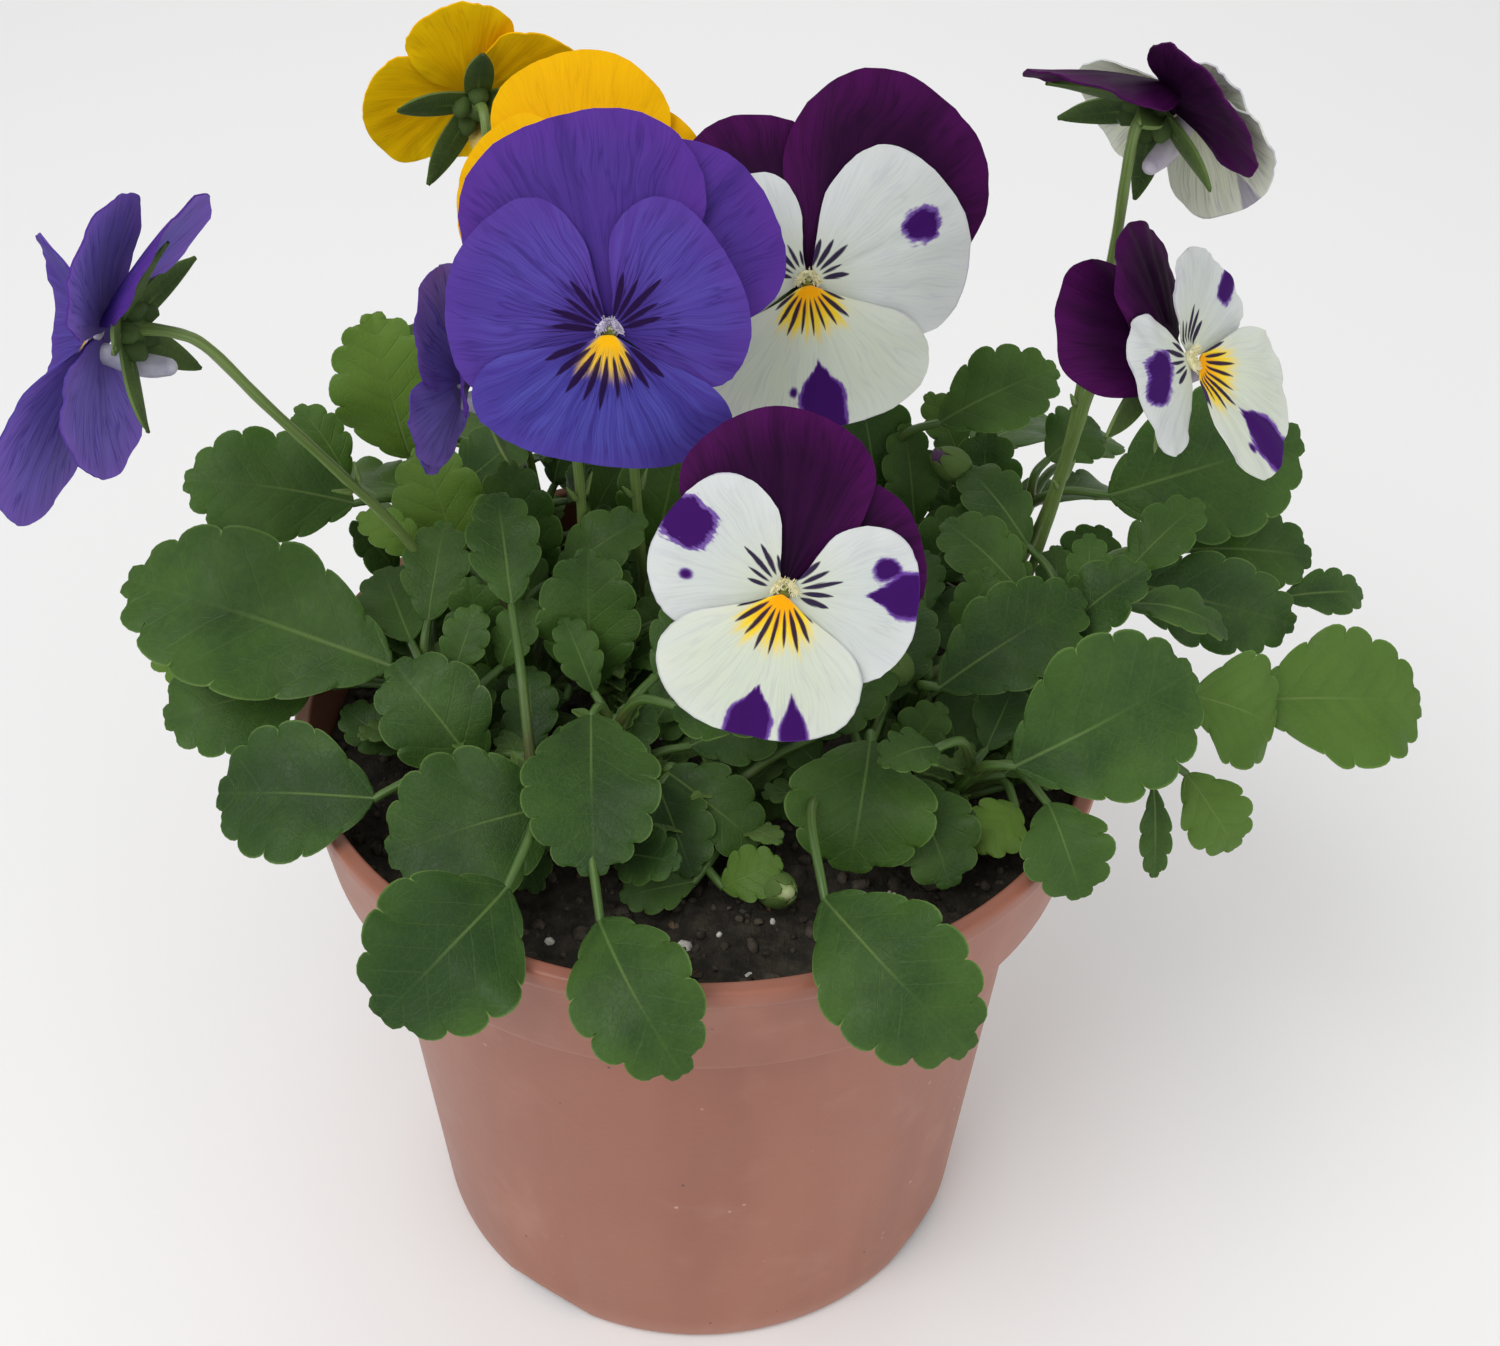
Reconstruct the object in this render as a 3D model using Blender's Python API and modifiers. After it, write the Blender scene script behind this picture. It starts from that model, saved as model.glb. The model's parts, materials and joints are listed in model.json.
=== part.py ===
"""Potted horned violet in a round nursery pot.

Three bushy plants share one pot of peat: a blue, a yellow and a white-and-purple one.
Lengths are written in millimetres and turned into metres when a mesh is made.
The origin is the middle of the pot's base, +Z is up and the front faces -Y.
"""

import math
import random
from collections import namedtuple

import bmesh
import bpy
from mathutils import Vector, kdtree, noise

MM = 0.001
OBJECT_NAME = "potted_horned_violet"
SEED = 11

# Pot
POT_HEIGHT = 100.0
RIM_RADIUS = 60.0
LIP_WIDTH = 2.4
LIP_HEIGHT = 2.6
COLLAR_DEPTH = 18.3
COLLAR_LOW_RADIUS = 57.1
SHOULDER_DROP = 2.2
BODY_TOP_RADIUS = 51.4
BASE_RADIUS = 45.0
BASE_ROUND = 1.6
WALL = 1.3
FLOOR = 2.0
POT_SIDES = 32
DRAIN_NOTCHES = 4
FIRST_NOTCH = 56.0
NOTCH_WIDTH = 18.0
NOTCH_HEIGHT = 2.8
NOTCH_DEPTH = 4.0

# Soil
GAP = 0.3
SOIL_LEVEL = 90.5
SOIL_CROWN = 1.6
SOIL_UNEVEN = 0.9
SOIL_RINGS = (0.6,)
HOLE_DEPTH = 8.0
HOLE_CLEARANCE = 1.1

# Thickness of the living parts
BLADE_THICKNESS = 0.7
PETAL_THICKNESS = 0.62
STEM_RADIUS = 1.45
FLOWER_STEM_RADIUS = 1.15
STALK_HALF = 0.75
BUD_STALK_RADIUS = 0.8

# Behind a bloom's face, in its own axes
THROAT_RADIUS = 2.2
CLAWS_RADIUS = 2.0
CALYX_RADIUS = 2.3
CALYX_FRONT = -4.3
CALYX_BACK = -7.2
SPUR = ((0, -3.2, 0.25), (0, -4.4, -6.0), (0, -4.6, -10.0))
SPUR_RADII = (1.2, 1.3, 0.9)
NECK_END = (0, 1.2, -5.5)
NECK = (0, 2.0, -12.0)
LOW_NECK = (0, 1.0, -12.0)
HIGH_NECK = (0, 0.5, -9.5)
SEPAL_ANGLES = (90, 20, 160, -50, -130)
SEPAL_LENGTH = 11.5
SEPAL_HALF_WIDTH = 1.25
SEPAL_START = -4.4
SEPAL_LEAN = 0.42

# Petals of the meshes: where a claw starts, and spokes round the middle
PETAL_CLAW = 0.6
PETAL_SPOKES = 5

# Colours, as linear red, green and blue
POT_COLOUR = (0.355, 0.147, 0.104)
SOIL_COLOUR = (0.024, 0.020, 0.014)
STEM_COLOUR = (0.105, 0.205, 0.048)
LEAF_COLOUR = (0.052, 0.120, 0.026)
BLUE_COLOUR = (0.075, 0.040, 0.290)
YELLOW_COLOUR = (0.850, 0.450, 0.002)
PURPLE_COLOUR = (0.055, 0.004, 0.060)
WHITE_COLOUR = (0.520, 0.570, 0.500)

Leaf = namedtuple("Leaf", "base tip width faces arch lobes")
Petal = namedtuple("Petal", "angle reach half_width layer lean")
Bloom = namedtuple("Bloom", "throat turn rise roll petals route neck", defaults=(NECK,))
Shoot = namedtuple("Shoot", "root top leaves fillers")

# How the blade's upper side looks: to the front, steeply to the front, to the back
FRONT = (0, -3, 4)
STEEP = (0, -4, 3)
BACK = (0, 3, 4)
BACK_LEFT = (-2, 2, 4)
BACK_RIGHT = (2, 2, 4)


def leaf(base, tip, width, faces=FRONT, arch=2.5, lobes=3):
    return Leaf(base, tip, width, faces, arch, lobes)


# Petals: direction in the bloom's plane, reach from the throat, half width, layer, lean back
BLUE_FACE = (
    Petal(104, 25.5, 13.5, 2.0, 4),
    Petal(50, 24.5, 11.5, 3.0, 6),
    Petal(163, 20.0, 10.6, 1.0, 2),
    Petal(27, 16.5, 10.6, 1.0, 0),
    Petal(-97, 16.4, 14.2, 0.0, 0),
)
SPLAYED_FACE = (
    Petal(79, 18.2, 9.2, 2.0, 8),
    Petal(91, 18.6, 8.2, 2.6, 36),
    Petal(198, 13.5, 8.8, 1.0, -53),
    Petal(-59, 17.8, 9.6, 1.0, 0),
    Petal(-66, 25.0, 11.0, 0.0, -28),
)
YELLOW_FACE = (
    Petal(97, 22.0, 10.8, 2.0, 2),
    Petal(40, 18.0, 9.0, 3.0, 5),
    Petal(164, 18.0, 9.8, 1.0, 2),
    Petal(12, 14.0, 8.6, 1.0, 0),
    Petal(-88, 15.8, 13.2, 0.0, 0),
)
TURNED_FACE = (
    Petal(80, 17.0, 6.6, 2.0, -2),
    Petal(150, 16.0, 7.5, 3.0, 4),
    Petal(-8, 15.5, 8.2, 1.0, 2),
    Petal(200, 14.0, 8.0, 1.0, 2),
    Petal(-96, 12.0, 8.5, 0.0, 0),
)
WIDE_FACE = (
    Petal(119, 23.0, 9.4, 3.0, 3),
    Petal(47, 30.5, 13.0, 2.0, 3),
    Petal(152, 16.5, 9.2, 1.0, 0),
    Petal(20, 22.8, 11.2, 1.0, 0),
    Petal(-86, 19.8, 14.4, 0.0, 0),
)
ROUND_FACE = (
    Petal(95, 21.4, 10.4, 2.0, 2),
    Petal(22, 18.0, 8.4, 3.0, 4),
    Petal(153, 16.6, 8.5, 1.0, 0),
    Petal(-9, 16.6, 8.7, 1.0, 0),
    Petal(-103, 18.3, 11.4, 0.0, 0),
)
SIDE_FACE = (
    Petal(85, 18.0, 8.4, 2.0, 24),
    Petal(45, 18.7, 8.2, 3.0, -2),
    Petal(138, 13.5, 8.4, 1.0, 4),
    Petal(4, 13.5, 8.6, 1.0, -20),
    Petal(-104, 17.5, 10.0, 0.0, -24),
)
SMALL_FACE = (
    Petal(77, 16.7, 9.1, 2.0, -11),
    Petal(51, 14.8, 7.5, 3.0, 14),
    Petal(151, 12.3, 7.4, 1.0, 5),
    Petal(-23, 12.2, 6.8, 1.0, -22),
    Petal(-87, 12.5, 8.5, 0.0, -21),
)
RAISED_FACE = (
    Petal(112, 17.3, 7.6, 2.0, 42),
    Petal(180, 16.5, 9.0, 3.0, 6),
    Petal(7, 13.0, 7.4, 1.0, 17),
    Petal(205, 13.0, 7.4, 1.0, 2),
    Petal(-109, 16.0, 11.4, 0.0, 11),
)

# Blooms: throat, turn from the front, rise, roll, petals, and the stem's route from the soil
BLOOMS = {
    "blue_front": Bloom((-11, -21, 172.6), 0, 24, 0, BLUE_FACE,
                        ((-8, 12, 90), (-9, 13, 115), (-10, 8, 140))),
    "blue_left": Bloom((-75, -12, 167), -102, 0, 0, SPLAYED_FACE,
                       ((-32, 13, 90), (-38, 8, 112), (-45, 2.5, 131), (-53, -6, 148), (-59.5, -12, 163)),
                       LOW_NECK),
    "blue_behind": Bloom((-34.5, 9.5, 147.5), -102, -7, 2, SMALL_FACE,
                         ((-18, 10, 90), (-17.5, 10.5, 110), (-17.5, 9.5, 130), (-19, 8, 145))),
    "yellow_front": Bloom((-15.5, 14, 169), -4, 20, 0, YELLOW_FACE,
                          ((-14, 26, 90), (-19, 30, 115), (-16, 31, 140))),
    "yellow_back": Bloom((-32.5, 39, 177.5), -165, 18, 0, TURNED_FACE,
                         ((-24, 38, 90), (-27, 37, 115), (-31, 32, 148))),
    "white_back": Bloom((13.8, 4.5, 165.8), 6, 24, 0, WIDE_FACE,
                        ((12, 24, 90), (14, 26, 115), (14, 24, 138))),
    "white_front": Bloom((9.8, -41.2, 149.4), 3, 30, -4, ROUND_FACE,
                         ((10, -4, 90), (11, -9, 108), (11, -16, 122))),
    "white_right": Bloom((62.4, -10.5, 163.5), 62, 27, 39, SIDE_FACE,
                         ((45, 16, 90), (49.5, 13, 112), (51, 6, 135), (51, -1, 149))),
    "white_top": Bloom((59, 5.4, 192), 131, 28, -31, RAISED_FACE,
                       ((44, 22, 90), (52, 18, 121), (53, 12, 145), (53.5, 5, 172)), HIGH_NECK),
}
TWO_COLOURED = ("white_back", "white_front", "white_right", "white_top")
FACE_COLOURS = {
    "blue": ("Blue petal", BLUE_COLOUR),
    "yellow": ("Yellow petal", YELLOW_COLOUR),
    "white": ("White petal", WHITE_COLOUR),
}

# Leafy shoots: root on the soil, top of the stem, the large leaves, and how many small ones
SHOOTS = {
    "shoot_left": Shoot((-30, -14), (-37, -16, 106), (
        leaf((-44.5, -29, 105), (-66.5, -26, 103), 20, FRONT, 2.0, 3),
        leaf((-57, -4, 104), (-78, -8, 101), 17, FRONT, 2.0, 2),
        leaf((-31, -21, 103), (-43, -12, 115), 16, FRONT),
    ), 1),
    "shoot_left_front": Shoot((-22, -22), (-23, -27, 106), (
        leaf((-19, -31, 106), (-42, -37, 102), 22, FRONT),
        leaf((-25, -47, 106), (-40, -63, 99), 22, STEEP, 3.5),
        leaf((-29, -21, 97), (-22, -36, 94), 9, FRONT, 1.0, 2),
    ), 1),
    "shoot_left_mid": Shoot((-36, -3), (-40, -6, 110), (
        leaf((-44, -9, 112), (-84, 6, 116), 25, FRONT),
        leaf((-63, 2, 104), (-83, 7, 103), 13, FRONT, 1.5, 2),
    ), 1),
    "shoot_left_back": Shoot((-38, 26), (-44, 28, 112), (
        leaf((-52, 18, 121.5), (-76, 16, 126.5), 18, FRONT),
        leaf((-46, 36, 118), (-50, 39, 142), 18, STEEP),
    ), 1),
    "shoot_inner_left": Shoot((-24, 4), (-27, 4, 110), (
        leaf((-31, -2, 105), (-33, -1, 122), 10, STEEP, 1.5, 2),
        leaf((-37, 18, 112), (-42, 24, 128), 14, STEEP, 1.5, 3),
        leaf((-20, -4, 102), (-36, -3, 99), 10, FRONT, 1.5, 2),
    ), 1),
    "shoot_front_left": Shoot((-10, -18), (-12, -19, 110), (
        leaf((-15, -22, 114), (-14, -44, 105), 19, FRONT),
        leaf((-13, -50, 103), (-2, -68, 94), 17, STEEP, 4.5),
    ), 1),
    "shoot_front": Shoot((2, -22), (3, -24, 102), (
        leaf((-5, -22, 104), (8, -31, 98), 12, FRONT, 1.5, 2),
        leaf((-6, -24, 103), (-1, -36, 97), 11, FRONT, 1.5, 2),
        leaf((-1, -36, 96), (-11, -38, 95), 7, FRONT, 1.0, 2),
        leaf((3, -37, 96), (11, -36, 100), 8, FRONT, 1.0, 2),
        leaf((6, -14, 102), (13, -22, 95), 10, FRONT, 1.0, 2),
    ), 0),
    "shoot_front_right": Shoot((21, -18), (23, -22, 106), (
        leaf((23, -25, 112), (20, -38, 100), 21, FRONT, 3.0, 3),
        leaf((16, -48, 105), (34, -65, 95), 20, STEEP, 5.0),
        leaf((29, -26, 106), (34, -38, 97), 13, FRONT, 1.5, 2),
        leaf((25, -13, 102), (21, -6, 110), 9, STEEP, 1.0, 2),
    ), 0),
    "shoot_right_front": Shoot((33, -16), (38, -24, 106), (
        leaf((42, -31, 113), (66, -23, 123), 23, STEEP),
        leaf((47, -32, 107), (51, -42, 99), 13, STEEP, 2.0, 2),
        leaf((44, -26, 101), (38, -32, 98), 9, FRONT, 1.5, 2),
        leaf((37, -18, 100), (35, -10, 108), 11, STEEP, 1.0, 2),
    ), 1),
    "shoot_inner_right": Shoot((28, -4), (32, -10, 112), (
        leaf((33, -17, 115), (53, -9, 125), 15, FRONT),
        leaf((18, 2, 118), (14, 14, 128), 12, FRONT, 1.5, 2),
        leaf((34, 9, 105), (25, 17, 110), 10, STEEP, 1.0, 2),
        leaf((33, 14, 109), (40, 19, 121), 10, STEEP, 1.0, 2),
    ), 1),
    "shoot_right": Shoot((42, -6), (56, -8, 104), (
        leaf((82, -4, 102), (109, 0, 98), 22, FRONT),
        leaf((71, -9, 107), (84, -9, 101), 18, FRONT, 2.0, 2),
        leaf((70, -17, 99), (78, -21, 88), 11, STEEP, 1.5, 2),
        leaf((65, -19, 98), (66, -24, 85), 5, STEEP, 1.0, 2),
    ), 1),
    "shoot_right_mid": Shoot((44, 4), (54, 2, 112), (
        leaf((60, -3, 119), (76, -4, 114), 8, (1, -1, 4)),
        leaf((62, 10, 114), (90, 8, 107), 15, STEEP),
        leaf((76, 22, 111), (95, 21, 110), 14, FRONT, 2.0, 3),
        leaf((90, 15, 107), (104, 20, 104), 8, FRONT, 1.5, 2),
    ), 1),
    "shoot_right_back": Shoot((42, 30), (52, 31, 114), (
        leaf((62, 22, 121), (91, 26, 129), 24, STEEP),
        leaf((54, 32, 121), (62, 38, 124), 11, FRONT, 1.5, 2),
        leaf((58, 22, 104), (63, 25, 113), 11, STEEP, 1.0, 2),
        leaf((44, 29, 110), (44, 33, 126), 12, STEEP, 1.0, 2),
    ), 1),
    "shoot_back_right": Shoot((26, 30), (29, 33, 120), (
        leaf((36, 28, 130), (54, 34, 136), 14, FRONT, 2.0, 3),
        leaf((27, 29, 118), (24, 36, 132), 14, STEEP, 2.0, 2),
        leaf((33, 24, 114), (31, 31, 128), 9, STEEP, 1.0, 2),
    ), 1),
    "shoot_centre": Shoot((-12, 2), (-14, -2, 108), (
        leaf((-16, -7, 107), (-16, -1, 127), 15, STEEP, 1.5, 3),
        leaf((-4, 0, 102), (-4, 9, 117), 12, STEEP, 1.5, 2),
    ), 2),
    "shoot_middle": Shoot((2, 20), (0, 22, 112), (
        leaf((-7, 20, 112), (-3, 24, 130), 16, STEEP, 1.5, 3),
        leaf((-26, 16, 106), (-29, 20, 128), 13, STEEP, 1.5, 3),
        leaf((8, 18, 106), (6, 22, 124), 14, STEEP, 1.5, 3),
    ), 1),
    "shoot_back": Shoot((2, 42), (2, 48, 112), (
        leaf((2, 56, 112), (0, 82, 106), 23, BACK),
        leaf((12, 52, 110), (28, 72, 103), 20, BACK_RIGHT),
        leaf((-10, 52, 110), (-26, 73, 104), 20, BACK_LEFT),
        leaf((-1, 50, 107), (-3, 70, 97), 15, (0, 4, 3), 3.5, 2),
    ), 2),
    "shoot_back_left": Shoot((-24, 42), (-30, 46, 110), (
        leaf((-38, 52, 110), (-54, 68, 105), 22, BACK_LEFT),
        leaf((-46, 42, 107), (-68, 50, 101), 20, BACK_LEFT),
        leaf((-32, 49, 104), (-42, 64, 95), 14, (-2, 4, 3), 3.0, 2),
    ), 2),
    "shoot_back_far_right": Shoot((28, 43), (34, 44, 110), (
        leaf((46, 52, 110), (64, 66, 105), 22, BACK_RIGHT),
        leaf((54, 42, 106), (77, 48, 100), 19, BACK_RIGHT),
        leaf((36, 50, 104), (45, 65, 95), 14, (2, 4, 3), 3.0, 2),
    ), 2),
}

# Flower buds: tip and girth, by the shoot that carries them
BUDS = {
    "shoot_front": (((12, -41, 99), 2.6),),
    "shoot_inner_right": (((26, -14, 119), 2.2),),
    "shoot_right_back": (((35, 24, 127), 2.6),),
}

# Small leaves that fill the bush
FILLER_LENGTH = (11.0, 18.0)
FILLER_REACH = (8.0, 20.0)
FILLER_HEIGHT = (98.0, 122.0)
FILLER_TRIES = 60
CLEARANCE = 2.0
SAMPLE_STEP = 1.6


def smooth(value):
    value = min(max(value, 0.0), 1.0)
    return value * value * (3.0 - 2.0 * value)


def curve_through(points, count):
    """Points along a smooth curve through the given ones."""
    ends = [points[0] * 2 - points[1], *points, points[-1] * 2 - points[-2]]
    spans = len(points) - 1
    result = []
    for step in range(count + 1):
        place = spans * step / count
        span = min(int(place), spans - 1)
        t = place - span
        a, b, c, d = ends[span:span + 4]
        result.append(0.5 * (2 * b + (c - a) * t + (2 * a - 5 * b + 4 * c - d) * t * t
                             + (3 * b - a - 3 * c + d) * t ** 3))
    return result


# Leaf blades

def leaf_frame(blade):
    base = Vector(blade.base)
    along = (Vector(blade.tip) - base)
    length = along.length
    along.normalize()
    normal = Vector(blade.faces)
    normal = (normal - along * normal.dot(along)).normalized()
    return base, along, normal.cross(along), normal, length


def leaf_point(blade, frame, station, side):
    """A point of the blade: station runs from base to tip, side from -1 to 1 across."""
    base, along, across, normal, length = frame
    edge_x = 0.5 - 0.5 * math.cos(math.pi * station)
    half = 0.5 * blade.width * math.sin(math.pi * station) * (0.70 + 0.30 * smooth(edge_x / 0.45))
    count = blade.lobes + 0.5
    scallop = abs(math.cos(math.pi * count * (1.0 - station))) ** 0.6
    depth = 0.17 * smooth(station / 0.25)
    shrink = 1.0 - depth * (1.0 - scallop)
    rib_x = max(edge_x - 0.11 * math.sin(math.pi * station), 0.0)
    end_x = rib_x + (edge_x - rib_x) * shrink
    x = rib_x + (end_x - rib_x) * abs(side)
    y = half * shrink * side
    reach = min(abs(y) / (0.5 * blade.width), 1.0)
    lift = blade.arch * 4.0 * x * (1.0 - x) + 0.07 * blade.width * reach ** 1.5
    wave = 2.0 * x + 0.25 * math.copysign(1, side)
    lift += 0.035 * blade.width * reach * math.sin(2.0 * math.pi * wave)
    return base + along * (length * x) + across * y + normal * lift


def leaf_rows(blade):
    last = 2 * blade.lobes + 1
    return [1.0 - row / last for row in range(last, -1, -1)]


def leaf_mesh(blade, stalk):
    """A thin blade on its flat stalk: two strips beside the midrib, cut in triangles."""
    frame = leaf_frame(blade)
    across = frame[2]
    sheet = bmesh.new()
    lines = []
    for point in stalk:
        lines.append([sheet.verts.new((point + across * side) * MM) for side in (-STALK_HALF, STALK_HALF)])
    for station in leaf_rows(blade)[1:-1]:
        row = [leaf_point(blade, frame, station, side) for side in (-1.0, 0.0, 1.0)]
        lines.append([sheet.verts.new(point * MM) for point in row])
    tip = sheet.verts.new(leaf_point(blade, frame, 1.0, 0.0) * MM)
    for low, high in zip(lines, lines[1:]):
        if len(high) == 2:
            sheet.faces.new((low[0], low[1], high[1], high[0]))
        elif len(low) == 2:
            sheet.faces.new((low[0], high[1], high[0]))
            sheet.faces.new((low[0], low[1], high[1]))
            sheet.faces.new((low[1], high[2], high[1]))
        else:
            for column in (0, 1):
                sheet.faces.new((low[column], low[column + 1], high[column + 1], high[column]))
    for column in (0, 1):
        sheet.faces.new((lines[-1][column], lines[-1][column + 1], tip))
    bmesh.ops.triangulate(sheet, faces=sheet.faces[:])
    return sheet


def leaf_samples(blade):
    frame = leaf_frame(blade)
    across = max(int(blade.width / SAMPLE_STEP), 2)
    along = max(int(frame[4] / SAMPLE_STEP), 4)
    points = []
    for row in range(along + 1):
        for column in range(across + 1):
            points.append(leaf_point(blade, frame, row / along, 2.0 * column / across - 1.0))
    return points


# Petals

def petal_outline(petal, turn, inset=1.0):
    """Where the petal's edge is, along it and across; inset moves the point towards its middle."""
    middle = 0.5 * (petal.reach + PETAL_CLAW)
    x = middle - 0.5 * (petal.reach - PETAL_CLAW) * math.cos(turn) * inset
    y = petal.half_width * math.sin(turn) * (1.0 - 0.20 * math.cos(turn)) * inset
    narrow = 0.45 + 0.55 * smooth(x / (0.3 * petal.reach))
    return x, y * narrow * (1.0 + 0.10 * math.sin(math.pi * min(x / petal.reach, 1.0)))


def petal_surface(petal, x, y):
    """The petal's curved surface over a point, in its bloom's axes."""
    away = math.hypot(x, y)
    spread = math.atan2(y, x)
    depth = -petal.layer - 0.0065 * away * away - math.tan(math.radians(petal.lean)) * max(away - 3.0, 0.0)
    depth += 0.55 * smooth((away - 9.0) / 10.0) * math.sin(3.0 * spread + petal.angle)
    depth += 0.35 * math.cos(2.0 * spread) * smooth(away / 12.0)
    angle = math.radians(petal.angle) + spread
    return Vector((away * math.cos(angle), away * math.sin(angle), depth))


def bloom_frame(bloom):
    """Axes of a bloom: right and up in its plane, and the way it faces."""
    turn = math.radians(bloom.turn)
    rise = math.radians(bloom.rise)
    roll = math.radians(bloom.roll)
    out = Vector((math.sin(turn) * math.cos(rise), -math.cos(turn) * math.cos(rise), math.sin(rise)))
    level = Vector((math.cos(turn), math.sin(turn), 0.0))
    upright = out.cross(level)
    right = level * math.cos(roll) + upright * math.sin(roll)
    return Vector(bloom.throat), right, out.cross(right), out


def place(frame, point):
    origin, right, up, out = frame
    return origin + right * point.x + up * point.y + out * point.z


def petal_mesh(petal, frame):
    """A thin curved petal: a fan round its middle and a ring out to the edge."""
    sheet = bmesh.new()

    def vertex(turn, inset):
        return sheet.verts.new(place(frame, petal_surface(petal, *petal_outline(petal, turn, inset))) * MM)

    centre = vertex(0.0, 0.0)
    inner = [vertex(2.0 * math.pi * (spoke + 0.5) / PETAL_SPOKES, 0.55) for spoke in range(PETAL_SPOKES)]
    outer = [vertex(math.pi * point / PETAL_SPOKES, 1.0) for point in range(2 * PETAL_SPOKES)]
    for spoke in range(PETAL_SPOKES):
        after = (spoke + 1) % PETAL_SPOKES
        edge = (2 * spoke + 2) % len(outer)
        sheet.faces.new((centre, inner[after], inner[spoke]))
        sheet.faces.new((inner[spoke], outer[2 * spoke + 1], outer[2 * spoke]))
        sheet.faces.new((inner[spoke], outer[edge], outer[2 * spoke + 1]))
        sheet.faces.new((inner[spoke], inner[after], outer[edge]))
    return sheet


# Objects

def collection_named(name):
    group = bpy.data.collections.new(name)
    bpy.context.scene.collection.children.link(group)
    return group


def make_material(name, colour, roughness):
    material = bpy.data.materials.new(name)
    material.use_nodes = True
    shader = material.node_tree.nodes["Principled BSDF"]
    shader.inputs["Base Color"].default_value = (*colour, 1.0)
    shader.inputs["Roughness"].default_value = roughness
    shader.inputs["Metallic"].default_value = 0.0
    return material


def add_object(name, mesh, group):
    item = bpy.data.objects.new(name, mesh)
    group.objects.link(item)
    return item


def finished_mesh(item):
    """The object's mesh with its modifiers applied, in the same place."""
    graph = bpy.context.evaluated_depsgraph_get()
    graph.update()
    mesh = bpy.data.meshes.new_from_object(item.evaluated_get(graph))
    mesh.transform(item.matrix_world)
    return mesh


def solid_sheet(name, sheet, thickness, group):
    """A closed thin solid made from an open surface."""
    mesh = bpy.data.meshes.new(name)
    sheet.to_mesh(mesh)
    sheet.free()
    item = add_object(name, mesh, group)
    shell = item.modifiers.new("Thickness", "SOLIDIFY")
    shell.thickness = thickness * MM
    shell.offset = 0.0
    return item


def tube(name, points, radii, group, resolution=0):
    """A round stem through the points, as a closed mesh."""
    curve = bpy.data.curves.new(name, "CURVE")
    curve.dimensions = "3D"
    curve.bevel_depth = MM
    curve.bevel_resolution = resolution
    curve.use_fill_caps = True
    spline = curve.splines.new("POLY")
    spline.points.add(len(points) - 1)
    for knot, point, radius in zip(spline.points, points, radii):
        knot.co = (*(point * MM), 1.0)
        knot.radius = radius
    drawn = add_object(name + "_path", curve, group)
    mesh = finished_mesh(drawn)
    bpy.data.objects.remove(drawn)
    bpy.data.curves.remove(curve)
    welded = bmesh.new()
    welded.from_mesh(mesh)
    bmesh.ops.remove_doubles(welded, verts=welded.verts[:], dist=0.00001)
    bmesh.ops.triangulate(welded, faces=welded.faces[:])
    bmesh.ops.recalc_face_normals(welded, faces=welded.faces[:])
    welded.to_mesh(mesh)
    welded.free()
    return add_object(name, mesh, group)


def fuse(name, body, pieces, group, material):
    """One closed body out of a body and the pieces that it carries."""
    if pieces:
        carried = collection_named(name + "_pieces")
        for piece in pieces:
            for holder in list(piece.users_collection):
                holder.objects.unlink(piece)
            carried.objects.link(piece)
        union = body.modifiers.new("Union", "BOOLEAN")
        union.operation = "UNION"
        union.operand_type = "COLLECTION"
        union.collection = carried
        union.solver = "EXACT"
    mesh = finished_mesh(body)
    mesh.name = name
    mesh.materials.clear()
    mesh.materials.append(material)
    mesh.shade_smooth()
    mesh.set_sharp_from_angle(angle=math.radians(50.0))
    if pieces:
        for piece in pieces:
            bpy.data.objects.remove(piece)
        bpy.data.collections.remove(carried)
    bpy.data.objects.remove(body)
    return add_object(name, mesh, group)


# Pot and soil

def wall_radius(height):
    """Outer radius of the pot's body below the collar."""
    top = POT_HEIGHT - COLLAR_DEPTH - SHOULDER_DROP
    return BASE_RADIUS + (BODY_TOP_RADIUS - BASE_RADIUS) * height / top


def turned(name, profile, sides, group):
    """A solid of revolution from a profile that runs down its outer side."""
    mesh = bpy.data.meshes.new(name)
    verts = [(radius * MM, 0.0, height * MM) for radius, height in profile]
    mesh.from_pydata(verts, [(i, i + 1) for i in range(len(verts) - 1)], [])
    item = add_object(name, mesh, group)
    screw = item.modifiers.new("Turn", "SCREW")
    screw.steps = sides
    screw.render_steps = sides
    screw.use_merge_vertices = True
    screw.merge_threshold = 0.00001
    screw.use_smooth_shade = True
    return item


def pot_profile():
    collar_low = POT_HEIGHT - COLLAR_DEPTH
    shoulder_low = collar_low - SHOULDER_DROP
    inner_rim = RIM_RADIUS - LIP_WIDTH
    collar_top = POT_HEIGHT - LIP_HEIGHT
    return (
        (0.0, FLOOR),
        (wall_radius(FLOOR) - WALL, FLOOR),
        (BODY_TOP_RADIUS - WALL, shoulder_low - 1.0),
        (COLLAR_LOW_RADIUS - WALL, collar_low + 1.0),
        (inner_rim, collar_top),
        (inner_rim, POT_HEIGHT - 0.5),
        (inner_rim + 0.5, POT_HEIGHT),
        (RIM_RADIUS - 0.5, POT_HEIGHT),
        (RIM_RADIUS, POT_HEIGHT - 0.5),
        (RIM_RADIUS, collar_top),
        (RIM_RADIUS - 0.7, collar_top - 0.7),
        (COLLAR_LOW_RADIUS, collar_low),
        (BODY_TOP_RADIUS, shoulder_low),
        (wall_radius(BASE_ROUND), BASE_ROUND),
        (BASE_RADIUS - BASE_ROUND, 0.0),
        (0.0, 0.0),
    )


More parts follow.
